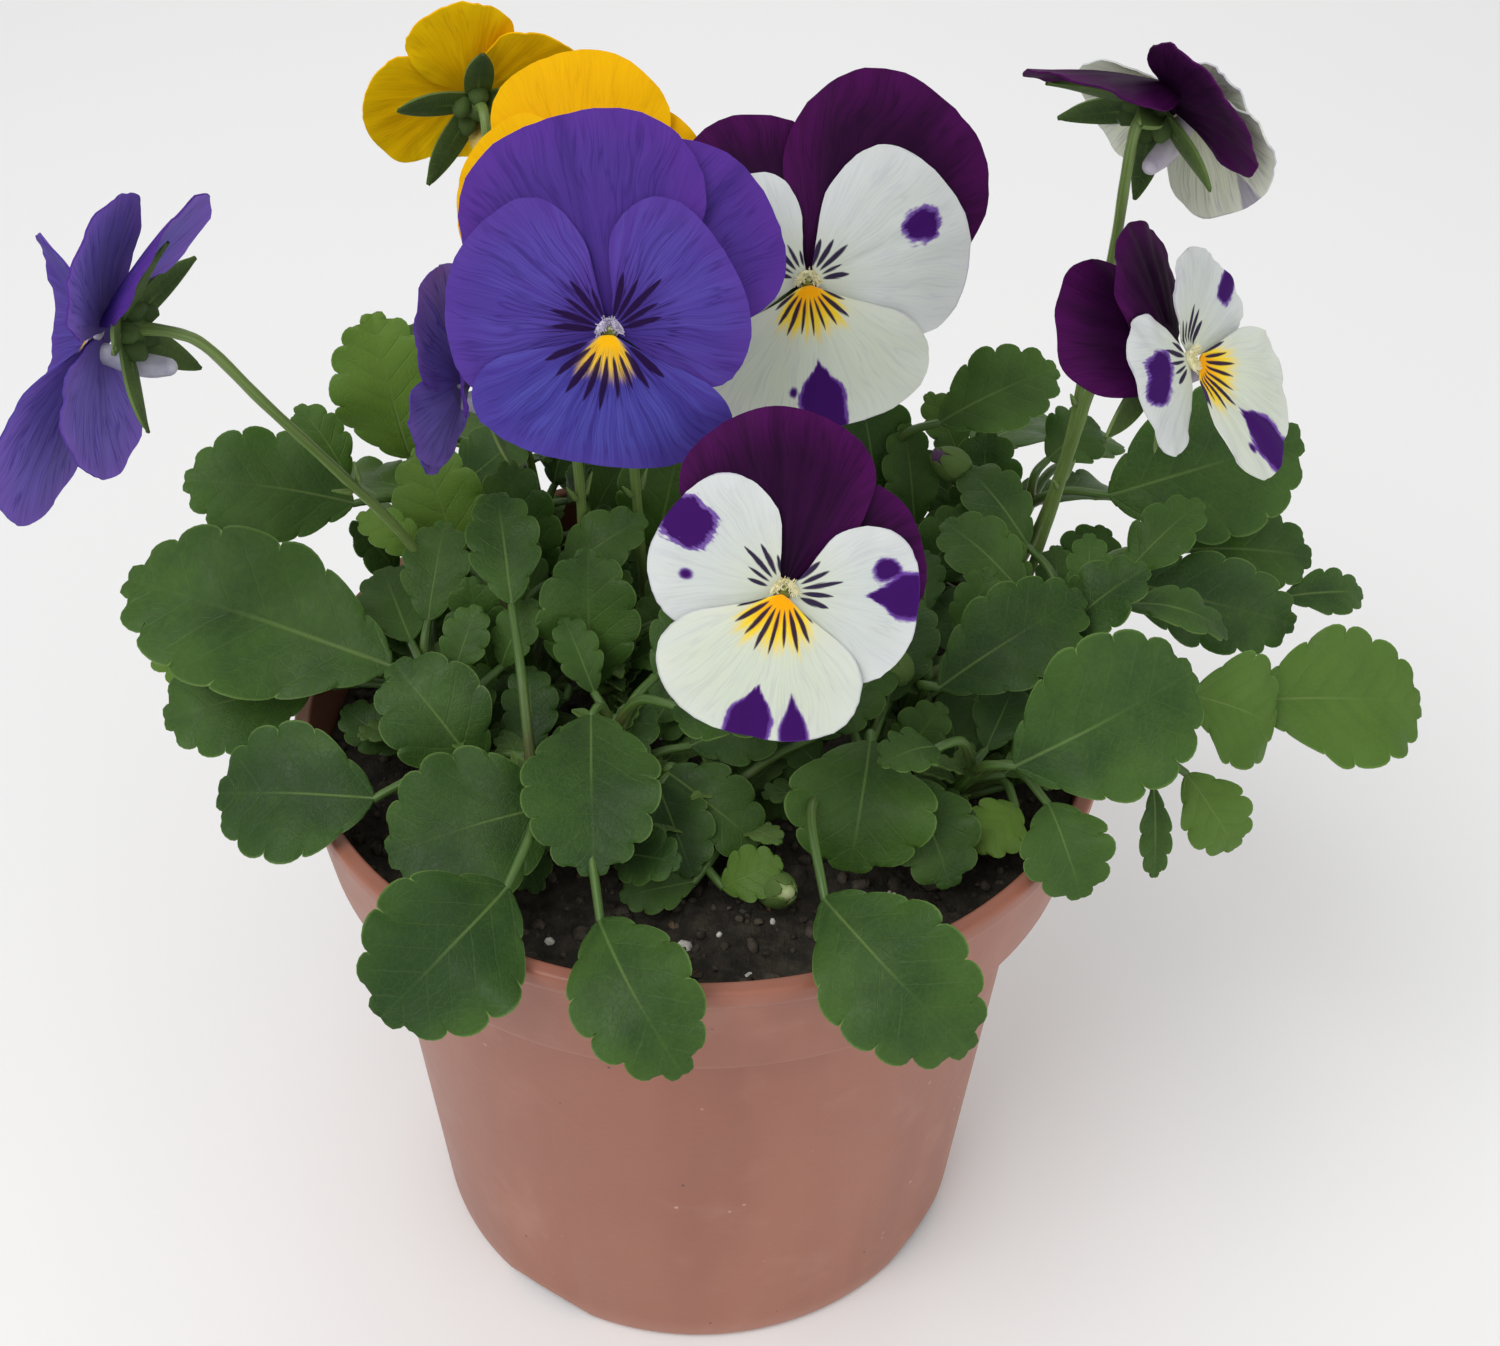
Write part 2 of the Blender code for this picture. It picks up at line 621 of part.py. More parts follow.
def make_pot(parts, cutters):
    pot = turned("pot", pot_profile(), POT_SIDES, parts)
    for index in range(DRAIN_NOTCHES):
        turn = math.radians(FIRST_NOTCH + 360.0 / DRAIN_NOTCHES * index)
        bpy.ops.mesh.primitive_cylinder_add(vertices=12, radius=1.0, depth=1.0)
        notch = bpy.context.object
        notch.name = f"drain_notch_{index}"
        notch.scale = (NOTCH_HEIGHT * MM, 0.5 * NOTCH_WIDTH * MM, 2.0 * NOTCH_DEPTH * MM)
        notch.rotation_euler = (0.0, math.pi / 2, turn)
        radius = (BASE_RADIUS - 0.4) * MM
        notch.location = (radius * math.cos(turn), radius * math.sin(turn), 0.0)
        notch.hide_render = True
        notch.display_type = "WIRE"
        for holder in list(notch.users_collection):
            holder.objects.unlink(notch)
        cutters.objects.link(notch)
        cut = pot.modifiers.new(f"Drain {index}", "BOOLEAN")
        cut.operation = "DIFFERENCE"
        cut.solver = "EXACT"
        cut.object = notch
    pot.data.materials.append(make_material("Terracotta coloured plastic", POT_COLOUR, 0.42))
    return pot


def soil_top(x, y):
    """Height of the soil's surface over a point."""
    away = math.hypot(x, y) / RIM_RADIUS
    wave = noise.noise(Vector((x * 0.06, y * 0.06, 3.0)))
    return SOIL_LEVEL + SOIL_CROWN * (1.0 - away * away) + SOIL_UNEVEN * wave


def soil_mesh():
    """Soil that fills the pot, with an uneven top."""
    bottom = FLOOR + GAP
    shoulder = POT_HEIGHT - COLLAR_DEPTH - SHOULDER_DROP
    collar_inside = COLLAR_LOW_RADIUS - WALL - GAP
    rise = (SOIL_LEVEL - shoulder) / (POT_HEIGHT - shoulder)
    edge = collar_inside + (RIM_RADIUS - LIP_WIDTH - GAP - collar_inside) * rise * 0.8
    sheet = bmesh.new()
    rings = [(edge * share, None) for share in SOIL_RINGS]
    rings.append((edge, None))
    rings.append((collar_inside - 0.3, POT_HEIGHT - COLLAR_DEPTH + 1.7))
    rings.append((BODY_TOP_RADIUS - WALL - GAP, shoulder - 0.3))
    rings.append((wall_radius(FLOOR) - WALL - GAP - 1.3, bottom + 0.9))
    rings.append((wall_radius(FLOOR) - WALL - GAP - 2.0, bottom))
    previous = [sheet.verts.new((0.0, 0.0, soil_top(0.0, 0.0) * MM))] * POT_SIDES
    for radius, height in rings:
        current = []
        for side in range(POT_SIDES):
            turn = 2.0 * math.pi * side / POT_SIDES
            x = radius * math.cos(turn)
            y = radius * math.sin(turn)
            z = soil_top(x, y) if height is None else height
            current.append(sheet.verts.new(Vector((x, y, z)) * MM))
        for side in range(POT_SIDES):
            after = (side + 1) % POT_SIDES
            corners = (previous[side], current[side], current[after], previous[after])
            sheet.faces.new(list(dict.fromkeys(corners)))
        previous = current
    middle = sheet.verts.new((0.0, 0.0, bottom * MM))
    for side in range(POT_SIDES):
        sheet.faces.new((previous[side], middle, previous[(side + 1) % POT_SIDES]))
    bmesh.ops.triangulate(sheet, faces=sheet.faces[:])
    return sheet


def make_soil(parts, cutters, roots):
    mesh = bpy.data.meshes.new("soil")
    sheet = soil_mesh()
    sheet.to_mesh(mesh)
    sheet.free()
    soil = add_object("soil", mesh, parts)
    holes = collection_named("soil_holes")
    for index, (x, y, radius) in enumerate(roots):
        top = soil_top(x, y) + 4.0
        low = hole_floor(x, y)
        bpy.ops.mesh.primitive_cylinder_add(
            vertices=4, radius=(radius + HOLE_CLEARANCE) * MM, depth=(top - low) * MM,
            location=(x * MM, y * MM, 0.5 * (top + low) * MM))
        hole = bpy.context.object
        hole.name = f"stem_hole_{index}"
        hole.hide_render = True
        hole.display_type = "WIRE"
        for holder in list(hole.users_collection):
            holder.objects.unlink(hole)
        holes.objects.link(hole)
    cut = soil.modifiers.new("Stem holes", "BOOLEAN")
    cut.operation = "DIFFERENCE"
    cut.operand_type = "COLLECTION"
    cut.collection = holes
    cut.solver = "EXACT"
    cutters.children.link(holes)
    bpy.context.scene.collection.children.unlink(holes)
    soil.data.materials.append(make_material("Peat", SOIL_COLOUR, 0.95))
    return soil


def hole_floor(x, y):
    return soil_top(x, y) - HOLE_DEPTH


# Blooms

def bloom_route(bloom):
    """Centre line of a flower's stem, from the soil to the calyx."""
    frame = bloom_frame(bloom)
    first = Vector(bloom.route[0])
    foot = Vector((first.x, first.y, hole_floor(first.x, first.y) + GAP))
    level = Vector((first.x, first.y, soil_top(first.x, first.y) + 1.0))
    neck = [place(frame, Vector(point)) for point in (bloom.neck, NECK_END)]
    upper = [Vector(point) for point in bloom.route[1:]]
    return [foot, *curve_through([level, *upper, *neck], 7)]


def sepal_slope(bloom, angle):
    """How steeply a sepal leans back: more where the petal over it leans back far."""
    over = [petal.lean for petal in bloom.petals if abs(petal.angle - angle) < 60.0]
    return max(SEPAL_LEAN, *(0.9 * math.tan(math.radians(lean)) for lean in over), 0.0)


def make_sepal(name, angle, slope, frame, group):
    """A pointed sepal: a flat four-sided spike from the calyx outwards."""
    turn = math.radians(angle)
    mesh = bpy.data.meshes.new(name)
    points = []
    for away, half in ((1.9, SEPAL_HALF_WIDTH), (SEPAL_LENGTH, 0.4)):
        for side, level in ((-half, -0.35), (half, -0.35), (half, 0.35), (-half, 0.35)):
            x = away * math.cos(turn) - side * math.sin(turn)
            y = 1.0 + away * math.sin(turn) + side * math.cos(turn)
            points.append(place(frame, Vector((x, y, SEPAL_START - slope * away + level))) * MM)
    faces = [(3, 2, 1, 0), (4, 5, 6, 7)]
    faces.extend((side, (side + 1) % 4, (side + 1) % 4 + 4, side + 4) for side in range(4))
    mesh.from_pydata(points, [], faces)
    return add_object(name, mesh, group)


def plug(name, frame, centre, near, far, radius, group):
    """A short round piece along a bloom's axis, from near to far behind the face."""
    line = [place(frame, Vector((centre[0], centre[1], depth))) for depth in (near, far)]
    return tube(name, line, (radius, radius), group, 1)


def make_bloom(name, bloom, parts, materials):
    frame = bloom_frame(bloom)
    colour = name.split("_")[0]
    route = bloom_route(bloom)
    stem = tube(name + "_stem", route, [FLOWER_STEM_RADIUS] * len(route), parts, 0)
    pieces = [plug(name + "_calyx", frame, (0.0, 1.0), CALYX_FRONT, CALYX_BACK, CALYX_RADIUS, parts)]
    for index, angle in enumerate(SEPAL_ANGLES):
        slope = sepal_slope(bloom, angle)
        pieces.append(make_sepal(f"{name}_sepal_{index}", angle, slope, frame, parts))
    fuse(name + "_stem", stem, pieces, parts, materials["Flower stem"])

    two_coloured = name in TWO_COLOURED
    upper = bloom.petals[:2] if two_coloured else ()
    lower = bloom.petals[2:] if two_coloured else bloom.petals
    back = -1.45 if two_coloured else -3.9
    core = plug(name + "_throat", frame, (0.0, 0.0), 0.35, back, THROAT_RADIUS, parts)
    spur_line = [place(frame, Vector(point)) for point in SPUR]
    pieces = [tube(name + "_spur", spur_line, SPUR_RADII, parts, 0)]
    for index, petal in enumerate(lower):
        pieces.append(solid_sheet(f"{name}_petal_{index}", petal_mesh(petal, frame), PETAL_THICKNESS, parts))
    fuse(name + "_petals", core, pieces, parts, materials[FACE_COLOURS[colour][0]])
    if upper:
        core = plug(name + "_claws", frame, (0.0, 0.4), -1.85, -3.9, CLAWS_RADIUS, parts)
        pieces = []
        for index, petal in enumerate(upper):
            sheet = petal_mesh(petal, frame)
            pieces.append(solid_sheet(f"{name}_upper_{index}", sheet, PETAL_THICKNESS, parts))
        fuse(name + "_upper_petals", core, pieces, parts, materials["Purple petal"])


# Leafy shoots

def shoot_route(shoot):
    x, y = shoot.root
    foot = Vector((x, y, hole_floor(x, y) + GAP))
    level = Vector((x, y, soil_top(x, y) + 1.0))
    top = Vector(shoot.top)
    middle = (level + top) * 0.5 + Vector(((top.x - x) * 0.1, (top.y - y) * 0.1, 0.0))
    return [foot, *curve_through([level, middle, top], 4)]


def petiole_route(shoot, blade):
    """Centre line of a leaf's stalk, from the shoot into the blade's rib."""
    route = shoot_route(shoot)
    base = Vector(blade.base)
    along = (Vector(blade.tip) - base).normalized()
    low, high = route[1].z, route[-1].z
    want = min(max((base.z - 6.0 - low) / max(high - low, 1.0), 0.12), 0.96)
    spot = 1 + want * (len(route) - 2)
    step = min(int(spot), len(route) - 2)
    start = route[step].lerp(route[step + 1], spot - step)
    distance = (base - start).length
    lead = start + Vector((0.0, 0.0, 1.0)) * distance * 0.30 + (base - start) * 0.25
    arrive = base - along * distance * 0.35
    middle = (lead + arrive) * 0.5
    return [start, middle, base]


def bud_route(shoot, tip):
    """Centre line of a bud's stalk and of the bud that it carries."""
    route = shoot_route(shoot)
    start = route[-2]
    tip = Vector(tip)
    base = tip - Vector((tip.x - start.x, tip.y - start.y, 14.0)).normalized() * 7.0
    bend = (start + base) * 0.5 + Vector(((base.x - start.x) * 0.2, (base.y - start.y) * 0.2, 0.0))
    return [start, bend, base, base.lerp(tip, 0.3), base.lerp(tip, 0.6), tip]


def route_samples(route, step=SAMPLE_STEP):
    points = []
    for low, high in zip(route, route[1:]):
        count = max(int((high - low).length / step), 1)
        points.extend(low.lerp(high, index / count) for index in range(count))
    points.append(route[-1])
    return points


def organ_samples(shoot, blade):
    return leaf_samples(blade) + route_samples(petiole_route(shoot, blade))[3:]


def filler_leaf(shoot, draw):
    """A small leaf at a random place round a shoot."""
    turn = draw.uniform(0.0, 2.0 * math.pi)
    reach = draw.uniform(*FILLER_REACH)
    height = draw.uniform(*FILLER_HEIGHT)
    length = draw.uniform(*FILLER_LENGTH)
    climb = math.radians(draw.uniform(-20.0, 55.0))
    out = Vector((math.cos(turn), math.sin(turn), 0.0))
    base = Vector((shoot.top[0], shoot.top[1], height)) + out * reach
    along = out * math.cos(climb) + Vector((0.0, 0.0, math.sin(climb)))
    tip = base + along * length
    faces = Vector((0.0, 0.0, 1.0)) - out * 0.3 + Vector((0.0, -0.4, 0.0))
    width = length * draw.uniform(0.58, 0.76)
    return Leaf(tuple(base), tuple(tip), width, tuple(faces), draw.uniform(0.8, 2.2), 2)


def clear_of(points, tree, clearance):
    return all(tree.find(point)[2] > clearance for point in points)


def build_tree(points):
    tree = kdtree.KDTree(len(points))
    for index, point in enumerate(points):
        tree.insert(point, index)
    tree.balance()
    return tree


def rim_clear(points):
    """True where no point comes through the pot's rim or the soil."""
    for point in points:
        away = math.hypot(point.x, point.y)
        if point.z < SOIL_LEVEL + 3.5 and away < RIM_RADIUS - 4.0:
            return False
        if point.z < POT_HEIGHT + 2.0 and away >= RIM_RADIUS - 4.0:
            return False
    return True


def bloom_samples(bloom):
    frame = bloom_frame(bloom)
    points = route_samples(bloom_route(bloom))
    for petal in bloom.petals:
        for inset in (0.25, 0.5, 0.75, 1.0):
            for spoke in range(24):
                outline = petal_outline(petal, 2.0 * math.pi * spoke / 24, inset)
                points.append(place(frame, petal_surface(petal, *outline)))
    return points


def filled_shoots():
    """Every shoot's leaves: the placed ones, and the fillers that find room."""
    draw = random.Random(SEED)
    taken = []
    for bloom in BLOOMS.values():
        taken.extend(bloom_samples(bloom))
    leaves = {}
    for name, shoot in SHOOTS.items():
        leaves[name] = list(shoot.leaves)
        taken.extend(route_samples(shoot_route(shoot)))
        for blade in shoot.leaves:
            taken.extend(organ_samples(shoot, blade))
    tree = build_tree(taken)
    for name, shoot in SHOOTS.items():
        added = 0
        for _attempt in range(FILLER_TRIES):
            if added == shoot.fillers:
                break
            blade = filler_leaf(shoot, draw)
            blade_points = leaf_samples(blade)
            stalk_points = route_samples(petiole_route(shoot, blade))[3:]
            if not rim_clear(blade_points + stalk_points[3:]):
                continue
            if clear_of(blade_points + stalk_points, tree, CLEARANCE):
                leaves[name].append(blade)
                taken.extend(blade_points + stalk_points)
                tree = build_tree(taken)
                added += 1
    return leaves


def make_shoot(name, shoot, leaves, parts, materials):
    route = shoot_route(shoot)
    radii = [STEM_RADIUS] * (len(route) - 1) + [STEM_RADIUS * 0.75]
    stem = tube(name, route, radii, parts, 0)
    pieces = []
    for index, blade in enumerate(leaves):
        sheet = leaf_mesh(blade, petiole_route(shoot, blade))
        pieces.append(solid_sheet(f"{name}_leaf_{index}", sheet, BLADE_THICKNESS, parts))
    for index, (tip, girth) in enumerate(BUDS.get(name, ())):
        line = bud_route(shoot, tip)
        radii = (BUD_STALK_RADIUS, BUD_STALK_RADIUS, BUD_STALK_RADIUS, girth * 0.9, girth, girth * 0.35)
        pieces.append(tube(f"{name}_bud_{index}", line, radii, parts, 1))
    fuse(name, stem, pieces, parts, materials["Leaf"])


def make_materials():
    materials = {name: make_material(name, colour, 0.55) for name, colour in FACE_COLOURS.values()}
    materials["Purple petal"] = make_material("Purple petal", PURPLE_COLOUR, 0.55)
    materials["Flower stem"] = make_material("Flower stem", STEM_COLOUR, 0.5)
    materials["Leaf"] = make_material("Leaf", LEAF_COLOUR, 0.5)
    return materials


def main():
    for item in list(bpy.data.objects):
        bpy.data.objects.remove(item)
    parts = collection_named(OBJECT_NAME)
    cutters = collection_named("cutters")
    materials = make_materials()
    roots = [(*shoot.root, STEM_RADIUS) for shoot in SHOOTS.values()]
    roots += [(bloom.route[0][0], bloom.route[0][1], FLOWER_STEM_RADIUS) for bloom in BLOOMS.values()]
    make_pot(parts, cutters)
    make_soil(parts, cutters, roots)
    for name, bloom in BLOOMS.items():
        make_bloom(name, bloom, parts, materials)
    leaves = filled_shoots()
    for name, shoot in SHOOTS.items():
        make_shoot(name, shoot, leaves[name], parts, materials)


main()
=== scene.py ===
import json
import math
import random
from collections import namedtuple

import bmesh
import bpy
import numpy as np
from mathutils import Matrix, Vector, kdtree, noise

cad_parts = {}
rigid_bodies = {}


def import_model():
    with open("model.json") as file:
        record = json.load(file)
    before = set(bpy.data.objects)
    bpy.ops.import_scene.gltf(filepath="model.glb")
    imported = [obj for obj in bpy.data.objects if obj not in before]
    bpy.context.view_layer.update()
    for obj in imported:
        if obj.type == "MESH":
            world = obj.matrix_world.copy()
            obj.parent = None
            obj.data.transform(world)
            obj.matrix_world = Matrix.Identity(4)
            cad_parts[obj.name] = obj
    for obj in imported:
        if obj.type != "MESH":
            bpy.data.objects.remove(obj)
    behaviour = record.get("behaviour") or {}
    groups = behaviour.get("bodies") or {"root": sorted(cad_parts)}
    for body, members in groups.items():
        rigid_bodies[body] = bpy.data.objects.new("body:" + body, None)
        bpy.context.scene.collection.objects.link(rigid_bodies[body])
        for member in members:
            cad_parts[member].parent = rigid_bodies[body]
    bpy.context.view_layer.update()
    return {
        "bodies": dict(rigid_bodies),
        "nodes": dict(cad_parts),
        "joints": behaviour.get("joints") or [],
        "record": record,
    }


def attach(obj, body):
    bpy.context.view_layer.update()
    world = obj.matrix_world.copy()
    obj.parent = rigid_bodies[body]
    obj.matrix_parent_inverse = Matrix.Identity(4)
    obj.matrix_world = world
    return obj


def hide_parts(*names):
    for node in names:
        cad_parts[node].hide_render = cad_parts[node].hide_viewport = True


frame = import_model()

MM = 0.001

# Pot, as in the CAD
POT_HEIGHT = 100.0
RIM_RADIUS = 60.0
LIP_WIDTH = 2.4
LIP_HEIGHT = 2.6
COLLAR_DEPTH = 18.3
COLLAR_LOW_RADIUS = 57.1
SHOULDER_DROP = 2.2
BODY_TOP_RADIUS = 51.4
BASE_RADIUS = 45.0
WALL = 1.3
FLOOR = 2.0
DRAIN_NOTCHES = 4
FIRST_NOTCH = 56.0
NOTCH_WIDTH = 18.0
NOTCH_HEIGHT = 2.8
NOTCH_DEPTH = 4.0
COLLAR_LOW = POT_HEIGHT - COLLAR_DEPTH
SHOULDER_LOW = COLLAR_LOW - SHOULDER_DROP
# How far the corners of the pot's profile are rounded, by their number
POT_ROUNDS = {2: 1.5, 3: 1.5, 4: 1.0, 5: 0.7, 6: 0.8, 7: 0.9, 8: 0.4, 9: 1.3, 10: 1.6, 11: 1.7}
POT_SIDES = 160
POT_SHARP = 35.0

# Soil
GAP = 0.3
SOIL_LEVEL = 90.5
SOIL_CROWN = 1.6
SOIL_UNEVEN = 0.9
HOLE_DEPTH = 8.0
SOIL_RINGS = 60
SOIL_SIDES = 160
# Loose bits on the soil: number, sizes, material, seed and flatness
CRUMBS = {
    "peat_crumbs": (1500, (0.5, 1.3), "Peat_crumbs", 3, 1.0),
    "perlite_bits": (90, (0.45, 1.0), "Perlite", 5, 1.0),
    "bark_bits": (70, (0.6, 1.4), "Bark_bits", 8, 0.4),
}

# Plant
STEM_RADIUS = 1.45
FLOWER_STEM_RADIUS = 1.15
NECK_END = (0, 1.2, -5.5)
NECK = (0, 2.0, -12.0)
LOW_NECK = (0, 1.0, -12.0)
HIGH_NECK = (0, 0.5, -9.5)
SEPAL_ANGLES = (90, 20, 160, -50, -130)
SEPAL_LENGTH = 12.3
SEPAL_START = -4.4
SEPAL_LEAN = 0.42
PETAL_CLAW = 0.6
PETAL_RINGS = 18
PETAL_SIDES = 70
BEARD_HAIRS = 60
# Middle line of the spur, as heights and depths in the bloom's axes
SPUR_LINE = ((-2.9, -0.9), (-3.9, -6.0), (-3.8, -9.4))
# Edges sharper than this many degrees stay sharp
SHARP = 62.0
# Rows of a leaf's blade: shares of a tooth, where the first one starts, and shares of the last one
TOOTH = (0.0, 0.05, 0.16, 0.32, 0.5, 0.68, 0.84, 0.95)
FIRST_TOOTH = 0.12
LAST_TOOTH = (0.0, 0.1, 0.3, 0.6, 1.0)

# Materials of a shoot and of a flower's petals, by slot
LEAF_TOP, LEAF_UNDER, LEAF_STALK, BUD_TIP = range(4)
UPPER, LATERAL, LOWER, PETAL_BACK, BEARD, SPUR, THROAT, STIGMA = range(8)
# A bloom's petals in their order: slots, and which side the lateral ones are on
PETAL_SLOTS = (UPPER, UPPER, LATERAL, LATERAL, LOWER)
PETAL_SIDE_MARKS = (0.0, 0.0, 1.0, -1.0, 0.0)
# Places on a petal run over this many millimetres; other pieces without a pattern have one place
UV_SPAN = 64.0
UV_MIDDLE = (0.5, 0.5)
# How deep light goes into a blade or petal, in metres, and how much of it, of which colour, into a leaf
GLOW_DEPTH = 0.0012
LEAF_GLOW = (0.10, (0.5, 1.0, 0.2))

# Camera, fitted to the photograph's pot: millimetres and the frame's axes
CAMERA_PLACE = (0.0, -228.12, 288.38)
CAMERA_PAN = 1.81
CAMERA_DIP = 38.98
CAMERA_ROLL = 1.33
LENS = 47.44

# Soft lights: place in metres, size and power
LIGHTS = {
    "key": ((-0.45, -0.50, 1.0), 0.7, 6.4),
    "fill": ((0.8, -0.7, 0.5), 0.9, 2.4),
    "rear": ((0.1, 0.9, 0.8), 0.8, 1.6),
}
LIT_POINT = Vector((0.0, 0.0, 0.11))
SURROUNDINGS = 0.58

Leaf = namedtuple("Leaf", "base tip width faces arch lobes")
Petal = namedtuple("Petal", "angle reach half_width layer lean")
Bloom = namedtuple("Bloom", "throat turn rise roll petals route neck", defaults=(NECK,))
Shoot = namedtuple("Shoot", "root top leaves fillers")

# How the blade's upper side looks: to the front, steeply to the front, to the back
FRONT = (0, -3, 4)
STEEP = (0, -4, 3)
BACK = (0, 3, 4)
BACK_LEFT = (-2, 2, 4)
BACK_RIGHT = (2, 2, 4)


def leaf(base, tip, width, faces=FRONT, arch=2.5, lobes=3):
    return Leaf(base, tip, width, faces, arch, lobes)


# Petals: direction in the bloom's plane, reach from the throat, half width, layer, lean back
BLUE_FACE = (
    Petal(104, 25.5, 13.5, 2.0, 4),
    Petal(50, 24.5, 11.5, 3.0, 6),
    Petal(163, 20.0, 10.6, 1.0, 2),
    Petal(27, 16.5, 10.6, 1.0, 0),
    Petal(-97, 16.4, 14.2, 0.0, 0),
)
SPLAYED_FACE = (
    Petal(79, 18.2, 9.2, 2.0, 8),
    Petal(91, 18.6, 8.2, 2.6, 36),
    Petal(198, 13.5, 8.8, 1.0, -53),
    Petal(-59, 17.8, 9.6, 1.0, 0),
    Petal(-66, 25.0, 11.0, 0.0, -28),
)
YELLOW_FACE = (
    Petal(97, 22.0, 10.8, 2.0, 2),
    Petal(40, 18.0, 9.0, 3.0, 5),
    Petal(164, 18.0, 9.8, 1.0, 2),
    Petal(12, 14.0, 8.6, 1.0, 0),
    Petal(-88, 15.8, 13.2, 0.0, 0),
)
TURNED_FACE = (
    Petal(80, 17.0, 6.6, 2.0, -2),
    Petal(150, 16.0, 7.5, 3.0, 4),
    Petal(-8, 15.5, 8.2, 1.0, 2),
    Petal(200, 14.0, 8.0, 1.0, 2),
    Petal(-96, 12.0, 8.5, 0.0, 0),
)
WIDE_FACE = (
    Petal(119, 23.0, 9.4, 3.0, 3),
    Petal(47, 30.5, 13.0, 2.0, 3),
    Petal(152, 16.5, 9.2, 1.0, 0),
    Petal(20, 22.8, 11.2, 1.0, 0),
    Petal(-86, 19.8, 14.4, 0.0, 0),
)
ROUND_FACE = (
    Petal(95, 21.4, 10.4, 2.0, 2),
    Petal(22, 18.0, 8.4, 3.0, 4),
    Petal(153, 16.6, 8.5, 1.0, 0),
    Petal(-9, 16.6, 8.7, 1.0, 0),
    Petal(-103, 18.3, 11.4, 0.0, 0),
)
SIDE_FACE = (
    Petal(85, 18.0, 8.4, 2.0, 24),
    Petal(45, 18.7, 8.2, 3.0, -2),
    Petal(138, 13.5, 8.4, 1.0, 4),
    Petal(4, 13.5, 8.6, 1.0, -20),
    Petal(-104, 17.5, 10.0, 0.0, -24),
)
SMALL_FACE = (
    Petal(77, 16.7, 9.1, 2.0, -11),
    Petal(51, 14.8, 7.5, 3.0, 14),
    Petal(151, 12.3, 7.4, 1.0, 5),
    Petal(-23, 12.2, 6.8, 1.0, -22),
    Petal(-87, 12.5, 8.5, 0.0, -21),
)
RAISED_FACE = (
    Petal(112, 17.3, 7.6, 2.0, 42),
    Petal(180, 16.5, 9.0, 3.0, 6),
    Petal(7, 13.0, 7.4, 1.0, 17),
    Petal(205, 13.0, 7.4, 1.0, 2),
    Petal(-109, 16.0, 11.4, 0.0, 11),
)

# Blooms: throat, turn from the front, rise, roll, petals, and the stem's route from the soil
BLOOMS = {
    "blue_front": Bloom((-11, -21, 172.6), 0, 24, 0, BLUE_FACE,
                        ((-8, 12, 90), (-9, 13, 115), (-10, 8, 140))),
    "blue_left": Bloom((-75, -12, 167), -102, 0, 0, SPLAYED_FACE,
                       ((-32, 13, 90), (-38, 8, 112), (-45, 2.5, 131), (-53, -6, 148), (-59.5, -12, 163)),
                       LOW_NECK),
    "blue_behind": Bloom((-34.5, 9.5, 147.5), -102, -7, 2, SMALL_FACE,
                         ((-18, 10, 90), (-17.5, 10.5, 110), (-17.5, 9.5, 130), (-19, 8, 145))),
    "yellow_front": Bloom((-15.5, 14, 169), -4, 20, 0, YELLOW_FACE,
                          ((-14, 26, 90), (-19, 30, 115), (-16, 31, 140))),
    "yellow_back": Bloom((-32.5, 39, 177.5), -165, 18, 0, TURNED_FACE,
                         ((-24, 38, 90), (-27, 37, 115), (-31, 32, 148))),
    "white_back": Bloom((13.8, 4.5, 165.8), 6, 24, 0, WIDE_FACE,
                        ((12, 24, 90), (14, 26, 115), (14, 24, 138))),
    "white_front": Bloom((9.8, -41.2, 149.4), 3, 30, -4, ROUND_FACE,
                         ((10, -4, 90), (11, -9, 108), (11, -16, 122))),
    "white_right": Bloom((62.4, -10.5, 163.5), 62, 27, 39, SIDE_FACE,
                         ((45, 16, 90), (49.5, 13, 112), (51, 6, 135), (51, -1, 149))),
    "white_top": Bloom((59, 5.4, 192), 131, 28, -31, RAISED_FACE,
                       ((44, 22, 90), (52, 18, 121), (53, 12, 145), (53.5, 5, 172)), HIGH_NECK),
}
TWO_COLOURED = ("white_back", "white_front", "white_right", "white_top")
# Violet patches of the two-coloured blooms by petal: two round ones and two wedges that open outwards.
# Each is a distance from the throat, a direction from the petal's middle line in degrees and a size.
PATCH_MARKS = ("spot_a", "spot_b", "wedge_a", "wedge_b")
NO_PATCH = (0.0, 0.0, 0.0)
PATCHES = {
    "white_back": {
        3: {"spot_a": (17.0, 3, 2.4)},
        4: {"wedge_a": (9.8, 2, 3.3), "spot_a": (14.6, -13, 0.6)},
    },
    "white_front": {
        2: {"spot_a": (14.2, -6, 3.2), "spot_b": (11.8, 20, 0.7)},
        3: {"wedge_a": (9.4, 8, 3.0), "spot_a": (12.6, 22, 1.5)},
        4: {"wedge_a": (10.8, 1, 3.0), "wedge_b": (12.0, 20, 1.9)},
    },
    "white_right": {
        2: {"spot_a": (8.5, -16, 2.5), "spot_b": (9.6, -3, 2.4)},
        3: {"spot_a": (12.0, -22, 2.0)},
        4: {"wedge_a": (8.2, -14, 3.6), "spot_a": (13.0, -31, 0.6)},
    },
    "white_top": {
        2: {"spot_a": (11.0, 0, 1.8)},
        3: {"spot_a": (10.0, 4, 1.5)},
        4: {"wedge_a": (11.0, 0, 2.2)},
    },
}
